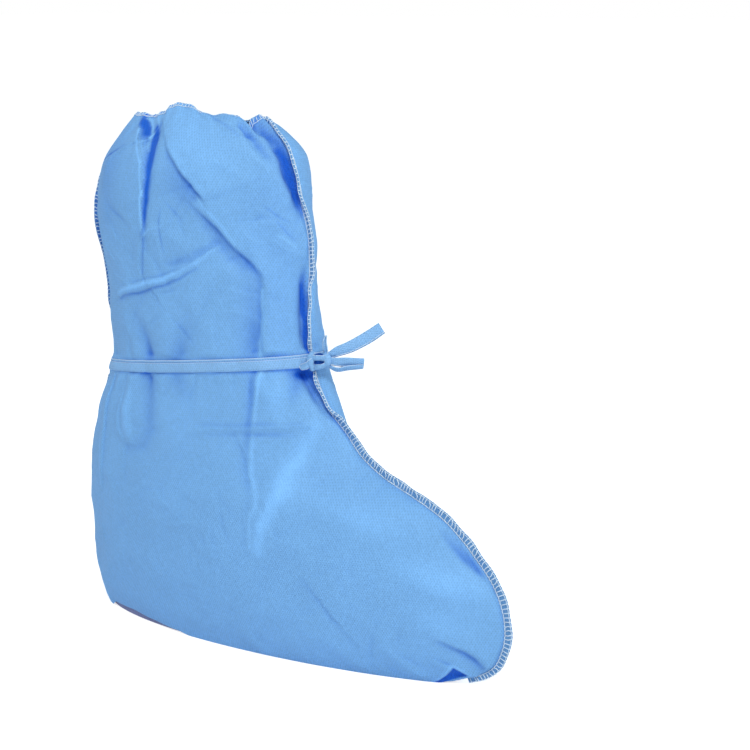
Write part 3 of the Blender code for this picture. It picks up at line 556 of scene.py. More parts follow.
def fold(form, depth, breadth, softness, path, x, y, girth):
    """How far one fold lifts the cloth at each point, and how far it drags it sideways and up."""
    depth, breadth, softness = depth / 1000, breadth / 1000, softness / 1000
    nearest, aside, strength, left_x, left_y = beside(path, x, y, girth)
    if form in ("crease", "press"):
        height = np.exp(-(np.sqrt(nearest ** 2 + softness ** 2) - softness) / breadth)
        return depth * strength * height, 0, 0
    if form == "flap":
        size = np.clip(strength, 0.4, 1.2)
        ridge = FLAP_RIDGE * np.exp(-nearest / FLAP_RIDGE_BREADTH)
        wall = 1 - np.exp(-(nearest / (size * softness)) ** 1.5)
        drop = wall * np.exp(-(nearest / (size * breadth)) ** 2)
        return depth * strength * (ridge - np.where(aside < 0, drop, 0)), 0, 0
    if form == "soft":
        return depth * strength * np.exp(-(nearest / breadth) ** 2), 0, 0
    raised = 0.5 + 0.5 * np.tanh(aside / softness)
    if form == "step":
        return depth * strength * raised * np.exp(-(nearest / breadth) ** 2), 0, 0
    bell = np.exp(-(nearest / (breadth * np.clip(strength, 0.25, 1.2))) ** 2)
    height = depth * strength * (TUCK_RISE * raised - (1 - TUCK_RISE) * (1 - raised)) * bell
    drag = -strength * aside * np.exp(-(nearest / TUCK_DRAG) ** 2)
    return height, drag * left_x, drag * left_y


def gusset_depth(x, y, girth):
    """How far inside the gusset's three edges each point lies, metres."""
    corners = [(run * girth, row * COVER_HEIGHT) for run, row in GUSSET]
    depth = np.full(x.shape, FAR_AWAY)
    for (ax, ay), (bx, by) in zip(corners, corners[1:] + corners[:1]):
        wx, wy = bx - ax, by - ay
        depth = np.minimum(depth, (wx * (y - ay) - wy * (x - ax)) / np.hypot(wx, wy))
    return np.maximum(depth, 0)


def wandering(x, y, reach, cell, seed):
    """The same places a little off, so that a line through them looks hand made."""
    return x + reach * noise(x, y, cell, seed), y + reach * noise(x, y, cell, seed + 1)


def painted_shading_of(side, run, row):
    """Painted shade deepening the cloth's blue along its folds; below 0, a painted highlight paling it."""
    girth, x, y = cloth_plane(run, row)
    drawn = wandering(x, y, 0.0007, 0.009, 8)
    total = np.zeros(run.shape)
    for name, left, right, path in (NEAR_PAINTED_SHADING if side < 0 else FAR_PAINTED_SHADING):
        place = (x, y) if name.startswith(("upright", "level", "pack")) else drawn
        nearest, aside, strength = beside(path, *place, girth)[:3]
        total += strength * np.exp(-(nearest / (np.where(aside > 0, left, right) / 1000)) ** 2)
    # Painted shade in the gusset pocket at the toe
    if side < 0:
        total += GUSSET_PAINTED_SHADE * smooth(gusset_depth(x, y, girth) / 0.0010)
    # The rim's thread band is darkened in speckles towards the same deep blue
    speckle = np.clip(noise(x, y, 0.0017, 7) + 0.15, 0, 1)
    return total + RIM_SPECKLE * speckle * smooth((row - 1 + RIM_THREAD_HEIGHT / COVER_HEIGHT) / 0.003)


def pleats(x, y, girth, seed, way, count, start, reach, depth, breadth):
    """Random short pleats that run from an elastic or tied line. y grows the way they run."""
    rng = np.random.default_rng(seed)
    height = np.zeros(x.shape)
    past_line = np.maximum(y - way * start, 0)
    for index in range(count):
        middle = (index + rng.uniform(0.15, 0.85)) / count * girth
        long = reach / 1000 * rng.uniform(0.4, 1.0)
        wide = breadth / 1000 * rng.uniform(0.6, 1.3)
        lean = rng.uniform(-0.35, 0.35)
        tall = depth / 1000 * rng.uniform(0.4, 1.0) * (1 if index % 2 else -1)
        off = x - middle - lean * past_line
        spread = wide * (1 + past_line / long)
        fade = np.exp(-(past_line / long) ** 1.5)
        height += np.where(past_line > 0, tall * fade * np.exp(-(np.abs(off) / spread) ** 1.6), 0)
    return height


def crumples(x, y, seed, count, low, high, depth):
    """Random short sharp creases between two heights on the cloth."""
    rng = np.random.default_rng(seed)
    height = np.zeros(x.shape)
    for _ in range(count):
        cx, cy = rng.uniform(0, 0.40), rng.uniform(low, high)
        angle = rng.uniform(0, math.pi)
        long = rng.uniform(0.008, 0.026)
        flank = rng.uniform(0.0014, 0.0050)
        tall = depth / 1000 * rng.uniform(0.4, 1.0) * rng.choice((-1, 1))
        bend = rng.uniform(-8, 8)
        along = (x - cx) * math.cos(angle) + (y - cy) * math.sin(angle)
        off = (y - cy) * math.cos(angle) - (x - cx) * math.sin(angle) + bend * along ** 2
        ridge = np.exp(-(np.sqrt(off ** 2 + CRUMPLE_EDGE ** 2) - CRUMPLE_EDGE) / flank)
        height += tall * np.exp(-(along / long) ** 2) * ridge
    return height


def billows(x, y, cell, seed):
    """Noise with rounded backs and narrow valleys between them, from -1 to 1."""
    return 1 - np.abs(noise(x, y, cell, seed)) * 2


def cloth_shape(side, run, row):
    """The height of all folds, pleats and crumples, and the sideways and upward drag of tucks."""
    girth, x, y = cloth_plane(run, row)
    wx, wy = wandering(x, y, 0.0010, 0.014, 3)
    height, aside, up = (np.zeros(run.shape) for _ in range(3))
    for _, form, depth, breadth, softness, path in (NEAR_FOLDS if side < 0 else FAR_FOLDS):
        place = (x, y) if form == "press" else (wx, wy)
        lift, drag_x, drag_y = fold(form, depth, breadth, softness, path, *place, girth)
        height += lift
        aside += drag_x
        up += drag_y
    seed = 20 if side < 0 else 50
    for index, (way, *sizes) in enumerate(PLEATS):
        height += pleats(wx, way * wy, girth, seed + index, way, *sizes)
    for number, *sizes in SHARP_CRUMPLES:
        height += crumples(x, y, seed + number, *sizes)
    # Broad swells, then billows and small ones, each turned so that no row of cells shows
    height += 0.0012 * noise(x, y, 0.055, seed + 3)
    height += 0.0008 * billows(0.8 * x + 0.6 * y, 0.8 * y - 0.6 * x, 0.034, seed + 4)
    height += 0.00012 * billows(x + 0.5 * y, y - 0.4 * x, 0.012, seed + 5)
    if side < 0:
        height -= GUSSET_DEPTH * smooth(gusset_depth(x, y, girth) / 0.0025)
    held_at_seams = smooth(np.minimum(run, 1 - run) * girth / EDGE_FADE)
    held_at_tie = smooth((np.abs(row - TIE_LEVEL) * COVER_HEIGHT - TIE_WIDTH / 2) / 0.005)
    hold = held_at_seams * held_at_tie * smooth(y / 0.008)
    return height * hold, aside * hold / girth, up * hold / COVER_HEIGHT


def foot_lift(side, run, row):
    """How far the cloth's lower edge is lifted off the floor, and what lies above it less."""
    lift = along_table(NEAR_LIFT if side < 0 else FAR_LIFT, run) / 1000
    return lift * np.clip(1 - row * COVER_HEIGHT / FOOT_EDGE, 0, 1) ** 1.5


def placed(side, run, row, height, aside, up, lift):
    """Points of the folded cloth, with its rolled rim, its notch and its lifted lower edge."""
    moved_run, moved_row = np.clip(run + aside, 0, 1), np.clip(row + up, 0, 1)
    rolled = np.clip(1 - (1 - row) * COVER_HEIGHT / CURL_HEIGHT, 0, 1) ** 2
    rolled = along_table(NEAR_CURL if side < 0 else FAR_CURL, run) * rolled
    off = (height + lift - CURL_INWARD * rolled)[..., None]
    points = bare_points(side, moved_run, moved_row) + outward(side, moved_run, moved_row) * off
    points[..., 2] -= CURL_DOWN * rolled
    if side < 0:
        centre, reach, deep = NOTCH
        dip = np.clip(1 - np.abs(run - centre) / reach, 0, 1)
        points[..., 2] -= deep * dip * smooth((row - NOTCH_START) / (1 - NOTCH_START))
    points[..., 2] += foot_lift(side, run, row)
    points[..., 2] = np.maximum(points[..., 2], FLOOR_CLEARANCE)
    return points


def cloth_points(side, run, row, lift):
    """Points of the folded cloth a little way off its reference surface."""
    return placed(side, run, row, *cloth_shape(side, run, row), lift)


def spread_runs(count):
    """Runs of mesh columns, a little closer together near the seams."""
    even = np.linspace(0, 1, count)
    return 0.7 * even + 0.3 * (1 - np.cos(math.pi * even)) / 2


def blurred(values, times):
    """Values on a grid, each mixed several times with its neighbours."""
    for _ in range(times):
        padded = np.pad(values, 1, mode="edge")
        values = (padded[:-2, 1:-1] + padded[2:, 1:-1] + padded[1:-1, :-2] + padded[1:-1, 2:]
                  + 2 * padded[1:-1, 1:-1]) / 6
    return values


def shade_in_hollows(height):
    """How much painted shade each point gets for lying below its surroundings, from 0 to 1."""
    near = blurred(height, 1)
    narrow, wide = blurred(height, 8) - near, blurred(height, 90) - near
    return np.clip(narrow / 0.0020, 0, 0.35) + np.clip((wide - 0.0006) / 0.0060, 0, 0.60)


def add_object(name, data):
    """A new object in the scene around a mesh, a camera or a light."""
    new = bpy.data.objects.new(name, data)
    bpy.context.scene.collection.objects.link(new)
    return new


def mesh_piece(name, points, faces):
    """A smooth piece from its points and faces."""
    mesh = bpy.data.meshes.new(name)
    mesh.from_pydata(points, [], faces)
    mesh.update()
    mesh.shade_smooth()
    return add_object(name, mesh)


def grid_piece(name, points, uvs, painted_shading=0.0, closed=False):
    """A piece through a grid of points, with its flat UV map in metres and its painted shading."""
    rows, columns = points.shape[:2]
    index = np.arange(rows * columns).reshape(rows, columns)
    if closed:
        index = np.concatenate([index, index[:, :1]], 1)
    quads = np.stack([index[:-1, :-1], index[:-1, 1:], index[1:, 1:], index[1:, :-1]], -1).reshape(-1, 4)
    piece = mesh_piece(name, points.reshape(-1, 3).tolist(), quads.tolist())
    mesh = piece.data
    layer = mesh.uv_layers.new(name="flat")
    loops = np.empty(len(mesh.loops), dtype=np.int32)
    mesh.loops.foreach_get("vertex_index", loops)
    layer.data.foreach_set("uv", uvs.reshape(-1, 2)[loops].astype(np.float32).ravel())
    depths = np.broadcast_to(painted_shading, (rows, columns)).astype(np.float32)
    mesh.attributes.new("painted_shading", "FLOAT", "POINT").data.foreach_set("value", depths.ravel())
    return piece


def thicken(piece, thickness, offset):
    """Gives a sheet its wall."""
    wall = piece.modifiers.new("Wall", "SOLIDIFY")
    wall.thickness = thickness
    wall.offset = offset
    bpy.ops.object.select_all(action="DESELECT")
    bpy.context.view_layer.objects.active = piece
    piece.select_set(True)
    bpy.ops.object.modifier_apply(modifier=wall.name)


def dress(piece, material, replaced=()):
    """Gives a piece its material and its body, and hides the imported parts that it replaces."""
    piece.data.materials.clear()
    piece.data.materials.append(material)
    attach(piece, "root")
    if replaced:
        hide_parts(*replaced)


def set_inputs(tree, node, inputs):
    """Gives a node's inputs their values, or links them to other nodes' outputs."""
    for label, value in inputs.items():
        if isinstance(value, bpy.types.NodeSocket):
            tree.links.new(value, node.inputs[label])
        else:
            node.inputs[label].default_value = value


def add_node(tree, kind, inputs=None, **settings):
    """A new shader node with its settings and its inputs."""
    node = tree.nodes.new("ShaderNode" + kind)
    for label, value in settings.items():
        setattr(node, label, value)
    set_inputs(tree, node, inputs or {})
    return node


def reckon(tree, operation, *values):
    """The result of a Math node on numbers or other nodes' outputs."""
    return add_node(tree, "Math", dict(enumerate(values)), operation=operation).outputs[0]


def new_group(name, inputs, outputs):
    """A shader node group with named sockets, each with its kind and perhaps its value."""
    group = bpy.data.node_groups.new(name, "ShaderNodeTree")
    for way, sockets in (("INPUT", inputs), ("OUTPUT", outputs)):
        for label, kind, *value in sockets:
            socket = group.interface.new_socket(label, in_out=way, socket_type="NodeSocket" + kind)
            if value:
                socket.default_value = value[0]
    return group, group.nodes.new("NodeGroupInput").outputs, group.nodes.new("NodeGroupOutput")


def emboss_group():
    """The nonwoven's calender pattern: a lattice of small diamond bonds, from a UV in metres."""
    group, start, end = new_group("calender_bonds", (("Vector", "Vector"), ("Pitch", "Float", 0.0016)),
                                  (("Height", "Float"), ("Bond", "Float")))
    split = add_node(group, "SeparateXYZ", {0: start["Vector"]})
    across, upward = (reckon(group, "DIVIDE", split.outputs[axis], start["Pitch"]) for axis in (0, 1))
    slant = reckon(group, "MULTIPLY", upward, BOND_SLANT)
    waves = []
    for way in ("ADD", "SUBTRACT"):
        turn = reckon(group, "MULTIPLY", reckon(group, way, across, slant), 2 * math.pi)
        waves.append(reckon(group, "COSINE", turn))
    height = reckon(group, "MULTIPLY", reckon(group, "ADD", *waves), 0.5)
    bond = add_node(group, "MapRange", {"From Min": 0.25, "From Max": 0.85, "Value": height})
    set_inputs(group, end, {"Height": height, "Bond": bond.outputs[0]})
    return group


def crumple_group():
    """Sharp little facets of a cloth that was folded and crushed, as a height in metres."""
    group, start, end = new_group("fine_crumples", (("Vector", "Vector"), ("Depth", "Float", 0.0005)),
                                  (("Height", "Float"),))
    warp = add_node(group, "TexNoise", {"Scale": 35, "Vector": start["Vector"]})
    shift = add_node(group, "VectorMath", {0: warp.outputs["Color"], "Scale": 0.022}, operation="SCALE")
    place = add_node(group, "VectorMath", {0: start["Vector"], 1: shift.outputs[0]})
    facets = add_node(group, "TexVoronoi", {"Scale": 46, "Vector": place.outputs[0]},
                      feature="DISTANCE_TO_EDGE")
    patches = add_node(group, "TexNoise", {"Scale": 14, "Vector": start["Vector"]})
    spread = add_node(group, "MapRange",
                      {"From Min": 0.38, "From Max": 0.66, "Value": patches.outputs["Fac"]})
    height = reckon(group, "MULTIPLY", facets.outputs["Distance"], spread.outputs[0])
    set_inputs(group, end, {"Height": reckon(group, "MULTIPLY", height, start["Depth"])})
    return group


def cloth_colour_group():
    """Fibre mottling, painted highlights on ridges, and painted shade, a deeper blue, in the cloth's hollows.
    """
    group, start, end = new_group(
        "cloth_colour",
        (("Vector", "Vector"), ("Hollow", "Float", 0.0), ("Bond", "Float", 0.0),
         ("Cloth", "Color", (0.2, 0.45, 0.8, 1)), ("Deep", "Color", (0.02, 0.12, 0.55, 1))),
        (("Color", "Color"), ("Roughness", "Float")))
    fibres = add_node(group, "TexNoise", {"Scale": 520, "Detail": 4, "Vector": start["Vector"]})
    cloud = add_node(group, "TexNoise", {"Scale": 22, "Detail": 2, "Vector": start["Vector"]})
    shade = reckon(group, "MULTIPLY", fibres.outputs["Fac"], 0.40)
    shade = reckon(group, "ADD", shade, reckon(group, "MULTIPLY", cloud.outputs["Fac"], 0.16))
    shade = reckon(group, "SUBTRACT", shade, reckon(group, "MULTIPLY", start["Bond"], 0.20))
    shade = reckon(group, "ADD", shade, 0.80)
    # Painted highlight: where the value is below 0 the cloth is made paler
    painted_highlight = reckon(group, "MAXIMUM", reckon(group, "MULTIPLY", start["Hollow"], -0.34), 0)
    shade = reckon(group, "ADD", shade, painted_highlight)
    # Painted shade: the hollows are mixed towards the deep blue
    tint = add_node(group, "Mix", {"Factor": start["Hollow"], "A": start["Cloth"], "B": start["Deep"]},
                    data_type="RGBA", blend_type="MIX")
    scaled = add_node(group, "VectorMath", {0: tint.outputs["Result"], "Scale": shade}, operation="SCALE")
    rough = reckon(group, "SUBTRACT", 0.62, reckon(group, "MULTIPLY", start["Bond"], 0.14))
    set_inputs(group, end, {"Color": scaled.outputs[0], "Roughness": rough})
    return group


BONDS = emboss_group()
CRUMPLES = crumple_group()
CLOTH_COLOUR = cloth_colour_group()


def new_material(name):
    """A material, its node tree and its shader."""
    material = bpy.data.materials.new(name)
    material.use_nodes = True
    return material, material.node_tree, material.node_tree.nodes["Principled BSDF"]


def cloth_material(name, colour, crumple=0.0011):
    """Embossed nonwoven cloth, whose pattern follows the piece's own flat UV map."""
    material, tree, shader = new_material(name)
    flat = add_node(tree, "UVMap", uv_map="flat").outputs[0]
    place = add_node(tree, "TexCoord").outputs["Object"]
    # The painted shading attribute: shade in the folds' hollows, highlights on their ridges
    painted_shading = add_node(tree, "Attribute", attribute_name="painted_shading").outputs["Fac"]
    bonds = add_node(tree, "Group", {"Pitch": BOND_PITCH, "Vector": flat}, node_tree=BONDS)
    paint = add_node(tree, "Group", {"Cloth": (*colour, 1), "Deep": (*SHADE_BLUE, 1), "Vector": place,
                                     "Bond": bonds.outputs["Bond"], "Hollow": painted_shading}, node_tree=CLOTH_COLOUR)
    crush = add_node(tree, "Group", {"Depth": crumple, "Vector": flat}, node_tree=CRUMPLES)
    raised = reckon(tree, "MULTIPLY", bonds.outputs["Height"], BOND_HEIGHT)
    height = reckon(tree, "ADD", raised, crush.outputs["Height"])
    relief = add_node(tree, "Bump", {"Strength": 1.0, "Distance": 1.0, "Height": height})
    set_inputs(tree, shader, {
        "Base Color": paint.outputs["Color"], "Roughness": paint.outputs["Roughness"],
        "Normal": relief.outputs[0], "Sheen Weight": 0.03, "Sheen Roughness": 0.4,
        "Specular IOR Level": 0.20})
    return material


def thread_material():
    """White polyester thread with a fine twist."""
    material, tree, shader = new_material("white_thread")
    place = add_node(tree, "TexCoord").outputs["Object"]
    fuzz = add_node(tree, "TexNoise", {"Scale": 2500, "Vector": place}).outputs["Fac"]
    colour = add_node(tree, "Mix", {"Factor": fuzz, "A": (0.50, 0.70, 0.94, 1), "B": (0.80, 0.92, 1.0, 1)},
                      data_type="RGBA")
    relief = add_node(tree, "Bump", {"Strength": 0.4, "Distance": 0.0002, "Height": fuzz})
    set_inputs(tree, shader, {"Base Color": colour.outputs["Result"], "Normal": relief.outputs[0],
                              "Roughness": 0.6, "Sheen Weight": 0.2})
    return material


CLOTH_FINISH = cloth_material("nonwoven", CLOTH_BLUE)
# The sewn edge's darker blue is painted shade between its threads
SEAM_SHADED_FINISH = cloth_material("seam_edge", SEAM_SHADED_BLUE, crumple=0.0004)
TIE_FINISH = cloth_material("tie_tape", TIE_BLUE, crumple=0.0006)
SOLE_FINISH = cloth_material("sole_cloth", SOLE_BLUE)
# The deep blue of painted shade, for the knot's core
SHADE_FINISH = cloth_material("shaded_cloth", SHADE_BLUE)
THREAD_FINISH = thread_material()


def flat_uv(run, row):
    """Where each point lies on the flat cloth, metres."""
    level = level_at(run, row)
    middle = look_up(OUTLINE_X, level, np.full(level.shape, 0.5))
    return np.stack([middle + (run - 0.5) * girth_at(level), row * COVER_HEIGHT], -1)


def edge_lift(run, row):
    """The outer skin lies a wall outside the reference surface, and closes in at the seams."""
    girth = girth_at(level_at(run, row))
    return CLOTH - (CLOTH - SKIN) * (1 - smooth(np.minimum(run, 1 - run) * girth / 0.004))


def make_panel(name, side):
    """One side panel as a thin crumpled sheet."""
    run, row = np.meshgrid(spread_runs(COLUMNS), np.linspace(0, 1, ROWS))
    height, aside, up = cloth_shape(side, run, row)
    points = placed(side, run, row, height, aside, up, edge_lift(run, row))
    # Painted shade in the hollows and along the folds, and painted highlights on ridges
    painted_shading = np.clip(shade_in_hollows(height) + painted_shading_of(side, run, row), -1, 1)
    if side > 0:
        points, run, row, painted_shading = points[:, ::-1], run[:, ::-1], row[:, ::-1], painted_shading[:, ::-1]
    piece = grid_piece(name, points, flat_uv(run, row), painted_shading)
    dress(piece, CLOTH_FINISH, (name.replace("_cloth", ""),))
    return piece


def seam_frame(run, first, last, count, lean):
    """Points down a seam, the leaning way its edge points and its sideways direction."""
    row = np.linspace(first, last, count)
    runs = np.full(count, float(run))
    base = bare_points(-1, runs, row)
    base[:, 2] += foot_lift(-1, runs, row)
    by_seam = np.full(count, 0.99 if run else 0.01)
    way = unit(outward(-1, by_seam, row) + outward(1, by_seam, row))
    along = unit(np.gradient(base, axis=0))
    near = np.cross(along, way)
    near *= -np.sign(near[:, 1:2])
    angle = np.radians(along_table(lean, row))[:, None]
    leaning = way * np.cos(angle) + near * np.sin(angle)
    return row, base, leaning, unit(np.cross(along, leaning))


def seam_width(row):
    """The sewn edge's width, pressed down under the tie and narrower at its foot."""
    from_tie = np.abs(row - TIE_LEVEL) * COVER_HEIGHT
    free = smooth((from_tie - TIE_WIDTH * 0.6) / (TIE_WIDTH * 0.9))
    # It narrows at its foot and at the rim, and where it turns its edge to the viewer
    ends = (0.72 + 0.28 * smooth(row / 0.10)) * (0.35 + 0.65 * smooth((1 - row) / 0.016))
    turned = 1 - 0.32 * smooth((row - 0.66) / 0.04) * smooth((0.86 - row) / 0.04)
    return SEAM_PRESSED + (SEAM_SHARE * SEAM_WIDTH * ends * turned - SEAM_PRESSED) * free


def tubes(name, paths, sides=5):
    """Thread: many thin tubes, each a list of points and a radius, joined in one mesh."""
    points, faces = [], []
    turns = np.linspace(0, 2 * math.pi, sides, endpoint=False)[:, None]
    for path, radius in paths:
        path = np.asarray(path, float)
        way = np.gradient(path, axis=0)
        way /= np.linalg.norm(way, axis=1, keepdims=True) + 1e-12
        guide = np.array((0.0, 0.0, 1.0)) if abs(way[0, 2]) < 0.9 else np.array((1.0, 0.0, 0.0))
        first = len(points)
        for place, heading in zip(path, way):
            side = np.cross(heading, guide)
            side /= np.linalg.norm(side)
            guide = np.cross(side, heading)
            ring = place + radius * (side * np.cos(turns) + guide * np.sin(turns))
            points += ring.tolist()
        count = len(path)
        for step in range(count - 1):
            for k in range(sides):
                here = first + step * sides + k
                there = first + step * sides + (k + 1) % sides
                faces.append((here, here + sides, there + sides, there))
        faces.append([first + k for k in range(sides)])
        faces.append([first + (count - 1) * sides + k for k in range(sides)][::-1])
    thread = mesh_piece(name, points, faces)
    dress(thread, THREAD_FINISH)
    return thread


def make_seam(name, run, node, lean):
    """The sewn edge of two cloth layers, and its white overlock thread."""
    count = 420
    row, base, way, aside = seam_frame(run, 0.005, 1 - HEM_HEIGHT * 0.1 / COVER_HEIGHT, count, lean)
    reach = SKIN + seam_width(row)
    long = lengths_along(base)
    rim = along_table(NEAR_RIM, np.array([float(run)]))[0] / 1000
    sway = 0.0005 * np.sin(long * 2 * math.pi / 0.023) + 0.0004 * np.sin(long * 2 * math.pi / 0.037 + rim)
    shares = np.linspace(0, 1, 7)
    points = np.stack([base + way * (reach * share)[:, None] + aside * (sway * share ** 1.5)[:, None]
                       for share in shares], 1)
    points[..., 2] = np.maximum(points[..., 2], SEAM_BODY / 2 + FLOOR_CLEARANCE)
    uvs = np.stack(np.meshgrid(shares * SEAM_WIDTH, long), -1)
    # The front seam's strip is paler along its foot by the panels, and the back seam's is a deeper blue
    # beyond its foot
    sewn = np.where(shares > 0.15, 0.0 if run else 0.5, -0.8 * run)
    strip = grid_piece(name, points, uvs, sewn)
    thicken(strip, SEAM_BODY, 0)
    dress(strip, SEAM_SHADED_FINISH, (node,))

    def at(place, share, off):
        """A point beside the strip at a distance along it."""
        i = min(int(np.searchsorted(long, place)), count - 1)
        point = base[i] + way[i] * reach[i] * share + aside[i] * (sway[i] * share ** 1.5 + off)
        point[2] = max(point[2], FLOOR_CLEARANCE + THREAD)
        return point

    face = SEAM_BODY / 2 + THREAD * 0.6
    paths = []
    for index in range(int(long[-1] / STITCH_PITCH)):
        place = (index + 0.5) * STITCH_PITCH
        loop = [at(place + step * STITCH_PITCH, share, side * face) for step, share, side in OVERLOCK_LOOP]
        paths.append((loop, THREAD * 1.45))
    wave = 2 * math.pi / STITCH_PITCH
    fine = np.arange(0.0005, long[-1] - 0.0005, STITCH_PITCH / 5)
    for off in (-face, face):
        for share, phase, radius in ((0.16, 0, 1.35), (0.95, 2, 0.9)):
            line = [at(place, share + 0.03 * math.sin(place * wave + phase), off) for place in fine]
            paths.append((line, THREAD * radius))
    tubes(name + "_thread", paths)


def around(row, lift):
    """Points once round the cover: the near side to the front, then the far side back."""
    runs = spread_runs(COLUMNS)
    near, far = runs[:-1], runs[:0:-1]
    return np.concatenate([cloth_points(-1, near, np.full(near.shape, row), lift(near)),
                           cloth_points(1, far, np.full(far.shape, row), lift(far))])


def around_at(row, lift):
    """Points once round the cover, all as far off its reference surface."""
    return around(row, lambda runs: np.full(runs.shape, lift))


def make_hem():
    """The elastic tape inside the rim, and the overlock thread along the rim's edge."""
    rows = [1 - HEM_HEIGHT * (1 - share) / COVER_HEIGHT for share in np.linspace(0, 1, 5)]
    points = np.array([around_at(row, CLOTH - SKIN - 0.0010) for row in rows])
    uvs = np.stack(np.meshgrid(np.linspace(0, 0.4, points.shape[1]), np.linspace(0, HEM_HEIGHT, 5)), -1)
    hem = grid_piece("hem_elastic", points, uvs, closed=True)
    thicken(hem, 0.0006, -1)
    dress(hem, CLOTH_FINISH, ("top_hem",))
    outer = around_at(1.0, CLOTH + 0.0002)
    inner = around_at(1.0, CLOTH - 0.0016)
    low = around_at(1 - 0.0026 / COVER_HEIGHT, CLOTH + 0.0002)
    long = lengths_along(outer)

    def pick(line, place):
        """A line's point at a distance along the rim."""
        i = int(np.clip(np.searchsorted(long, place), 1, len(line) - 1))
        t = (place - long[i - 1]) / max(long[i] - long[i - 1], 1e-9)
        return line[i - 1] * (1 - t) + line[i] * t

    pitch = HEM_STITCH_PITCH
    up = np.array((0, 0, 0.0004))
    paths = []
    for index in range(int(long[-1] / pitch)):
        place = (index + 0.5) * pitch
        loop = [pick(low, place - pitch * 0.2), (pick(outer, place) + pick(low, place)) / 2,
                pick(outer, place + pitch * 0.1) + up / 2, pick(inner, place + pitch * 0.2) + up]
        paths.append((loop, THREAD))
    fine = np.arange(0.0005, long[-1], pitch / 3)
    paths.append(([pick(low, place) for place in fine], THREAD))
    paths.append(([(pick(outer, place) + pick(inner, place)) / 2 + up for place in fine], THREAD * 0.9))
    return [hem, tubes("hem_thread", paths)]


def make_tie_band():
    """The folded tape round the ankle with its two lines of stitching."""
    lines = []
    for share, swell in TIE_SECTION:
        row = TIE_LEVEL + share * TIE_WIDTH / 2 / COVER_HEIGHT

        def lift(runs, share=share, swell=swell, row=row):
            """How far the tape lies off the cloth, over the sewn edges and all round."""
            girth = girth_at(level_at(runs, np.full(runs.shape, row)))
            over = smooth((0.009 - np.minimum(runs, 1 - runs) * girth) / 0.005)
            kink = 0.0003 * np.exp(-((runs - 0.365) * girth / 0.0022) ** 2)
            wave = 0.0004 * np.sin(runs * girth * 2 * math.pi / 0.031 + share)
            return CLOTH + GAP + (SEAM_PRESSED + GAP) * over + wave + swell * TIE_SWELL - kink

        lines.append(around(row, lift))
    points = np.array(lines)
    shares = np.array([share for share, _ in TIE_SECTION])
    uvs = np.stack(np.meshgrid(lengths_along(points[3]), shares * TIE_WIDTH / 2), -1)
    # Painted shade along the groove beside the lower line of stitching
    groove_shade = np.where(np.abs(shares - 0.60) < 0.03, 0.45, 0.0)[:, None]
    band = grid_piece("tie_band_tape", points, uvs, groove_shade, closed=True)
    thicken(band, TIE_THICKNESS * 0.6, -1)
    dress(band, TIE_FINISH, ("tie_band",))
    upper, lower = (np.concatenate([line, line[:1]]) for line in (points[-2], points[-5]))
    tubes("tie_band_thread", [(upper, THREAD * 0.65), (lower, THREAD * 0.4)])


def tape_strip(name, path, blades, widths, crease):
    """A strip of tape through points, whose breadth lies along the blades, and its edges' threads."""
    knots = np.linspace(0, 1, len(path))
    fine = np.linspace(0, 1, 24)
    centres = curve_through(knots, path, fine)
    blades = unit(curve_through(knots, blades, fine))
    wide = np.interp(fine, np.linspace(0, 1, len(widths)), widths)
    face = np.cross(unit(np.gradient(centres, axis=0)), blades)
    shares = np.linspace(-1, 1, 9)
    points = np.stack([centres + blades * (wide * share / 2)[:, None]
                       + face * (crease * (1 - abs(share)) ** 0.7) for share in shares], 1)
    uvs = np.stack(np.meshgrid(shares * TIE_WIDTH / 2, lengths_along(centres)), -1)
    strip = grid_piece(name, points, uvs)
    thicken(strip, TAPE_WALL, 0)
    off = face * (TAPE_WALL / 2 + THREAD * 0.4)
    edges = [(points[:, 0], THREAD), (points[:, -1], THREAD * 0.8),
             (points[:, 1] + off, THREAD * 0.7), (points[:, 1] - off, THREAD * 0.7)]
    return strip, edges


def make_knot():
    """The knot and the two free ends, built from strips of the tie's tape."""
    by_seam, level = np.array([0.99]), np.array([TIE_LEVEL])
    way = unit(outward(-1, by_seam, level)[0] + outward(1, by_seam, level)[0])
    stack = CLOTH + GAP + SEAM_PRESSED + GAP + TIE_THICKNESS + GAP
    centre = bare_points(-1, np.array([1.0]), level)[0] + way * (stack + 0.0045)
    right = np.array((math.cos(VIEW_AZIMUTH), math.sin(VIEW_AZIMUTH), 0))
    axes = np.array((right, (0, 0, 1), (right[1], -right[0], 0)))
    edges = []
    for name, node, crease, widths, path, blades in KNOT_STRIPS:
        strip, sides = tape_strip(name, centre + np.array(path) @ axes / 1000, np.array(blades) @ axes,
                                  np.array(widths) / 1000, crease / 1000)
        dress(strip, TIE_FINISH, (node,))
        edges += sides if name.startswith("tail") else sides[:2]
    tubes("knot_thread", edges)
    # The knot's core is a ball in the deep blue of painted shade, standing for the shade inside the knot
    bpy.ops.mesh.primitive_uv_sphere_add(segments=24, ring_count=14, radius=1, location=(0, 0, 0))
    core = bpy.context.object
    core.name = "knot_core"
    for vert in core.data.vertices:
        vert.co = centre + (np.array(vert.co.xzy) * KNOT_CORE + KNOT_CORE_SHIFT) @ axes / 1000
    # Two of its axes change places in that, which turns its faces inwards
    core.data.flip_normals()
    core.data.uv_layers[0].name = "flat"
    dress(core, SHADE_FINISH, ("tie_knot",))


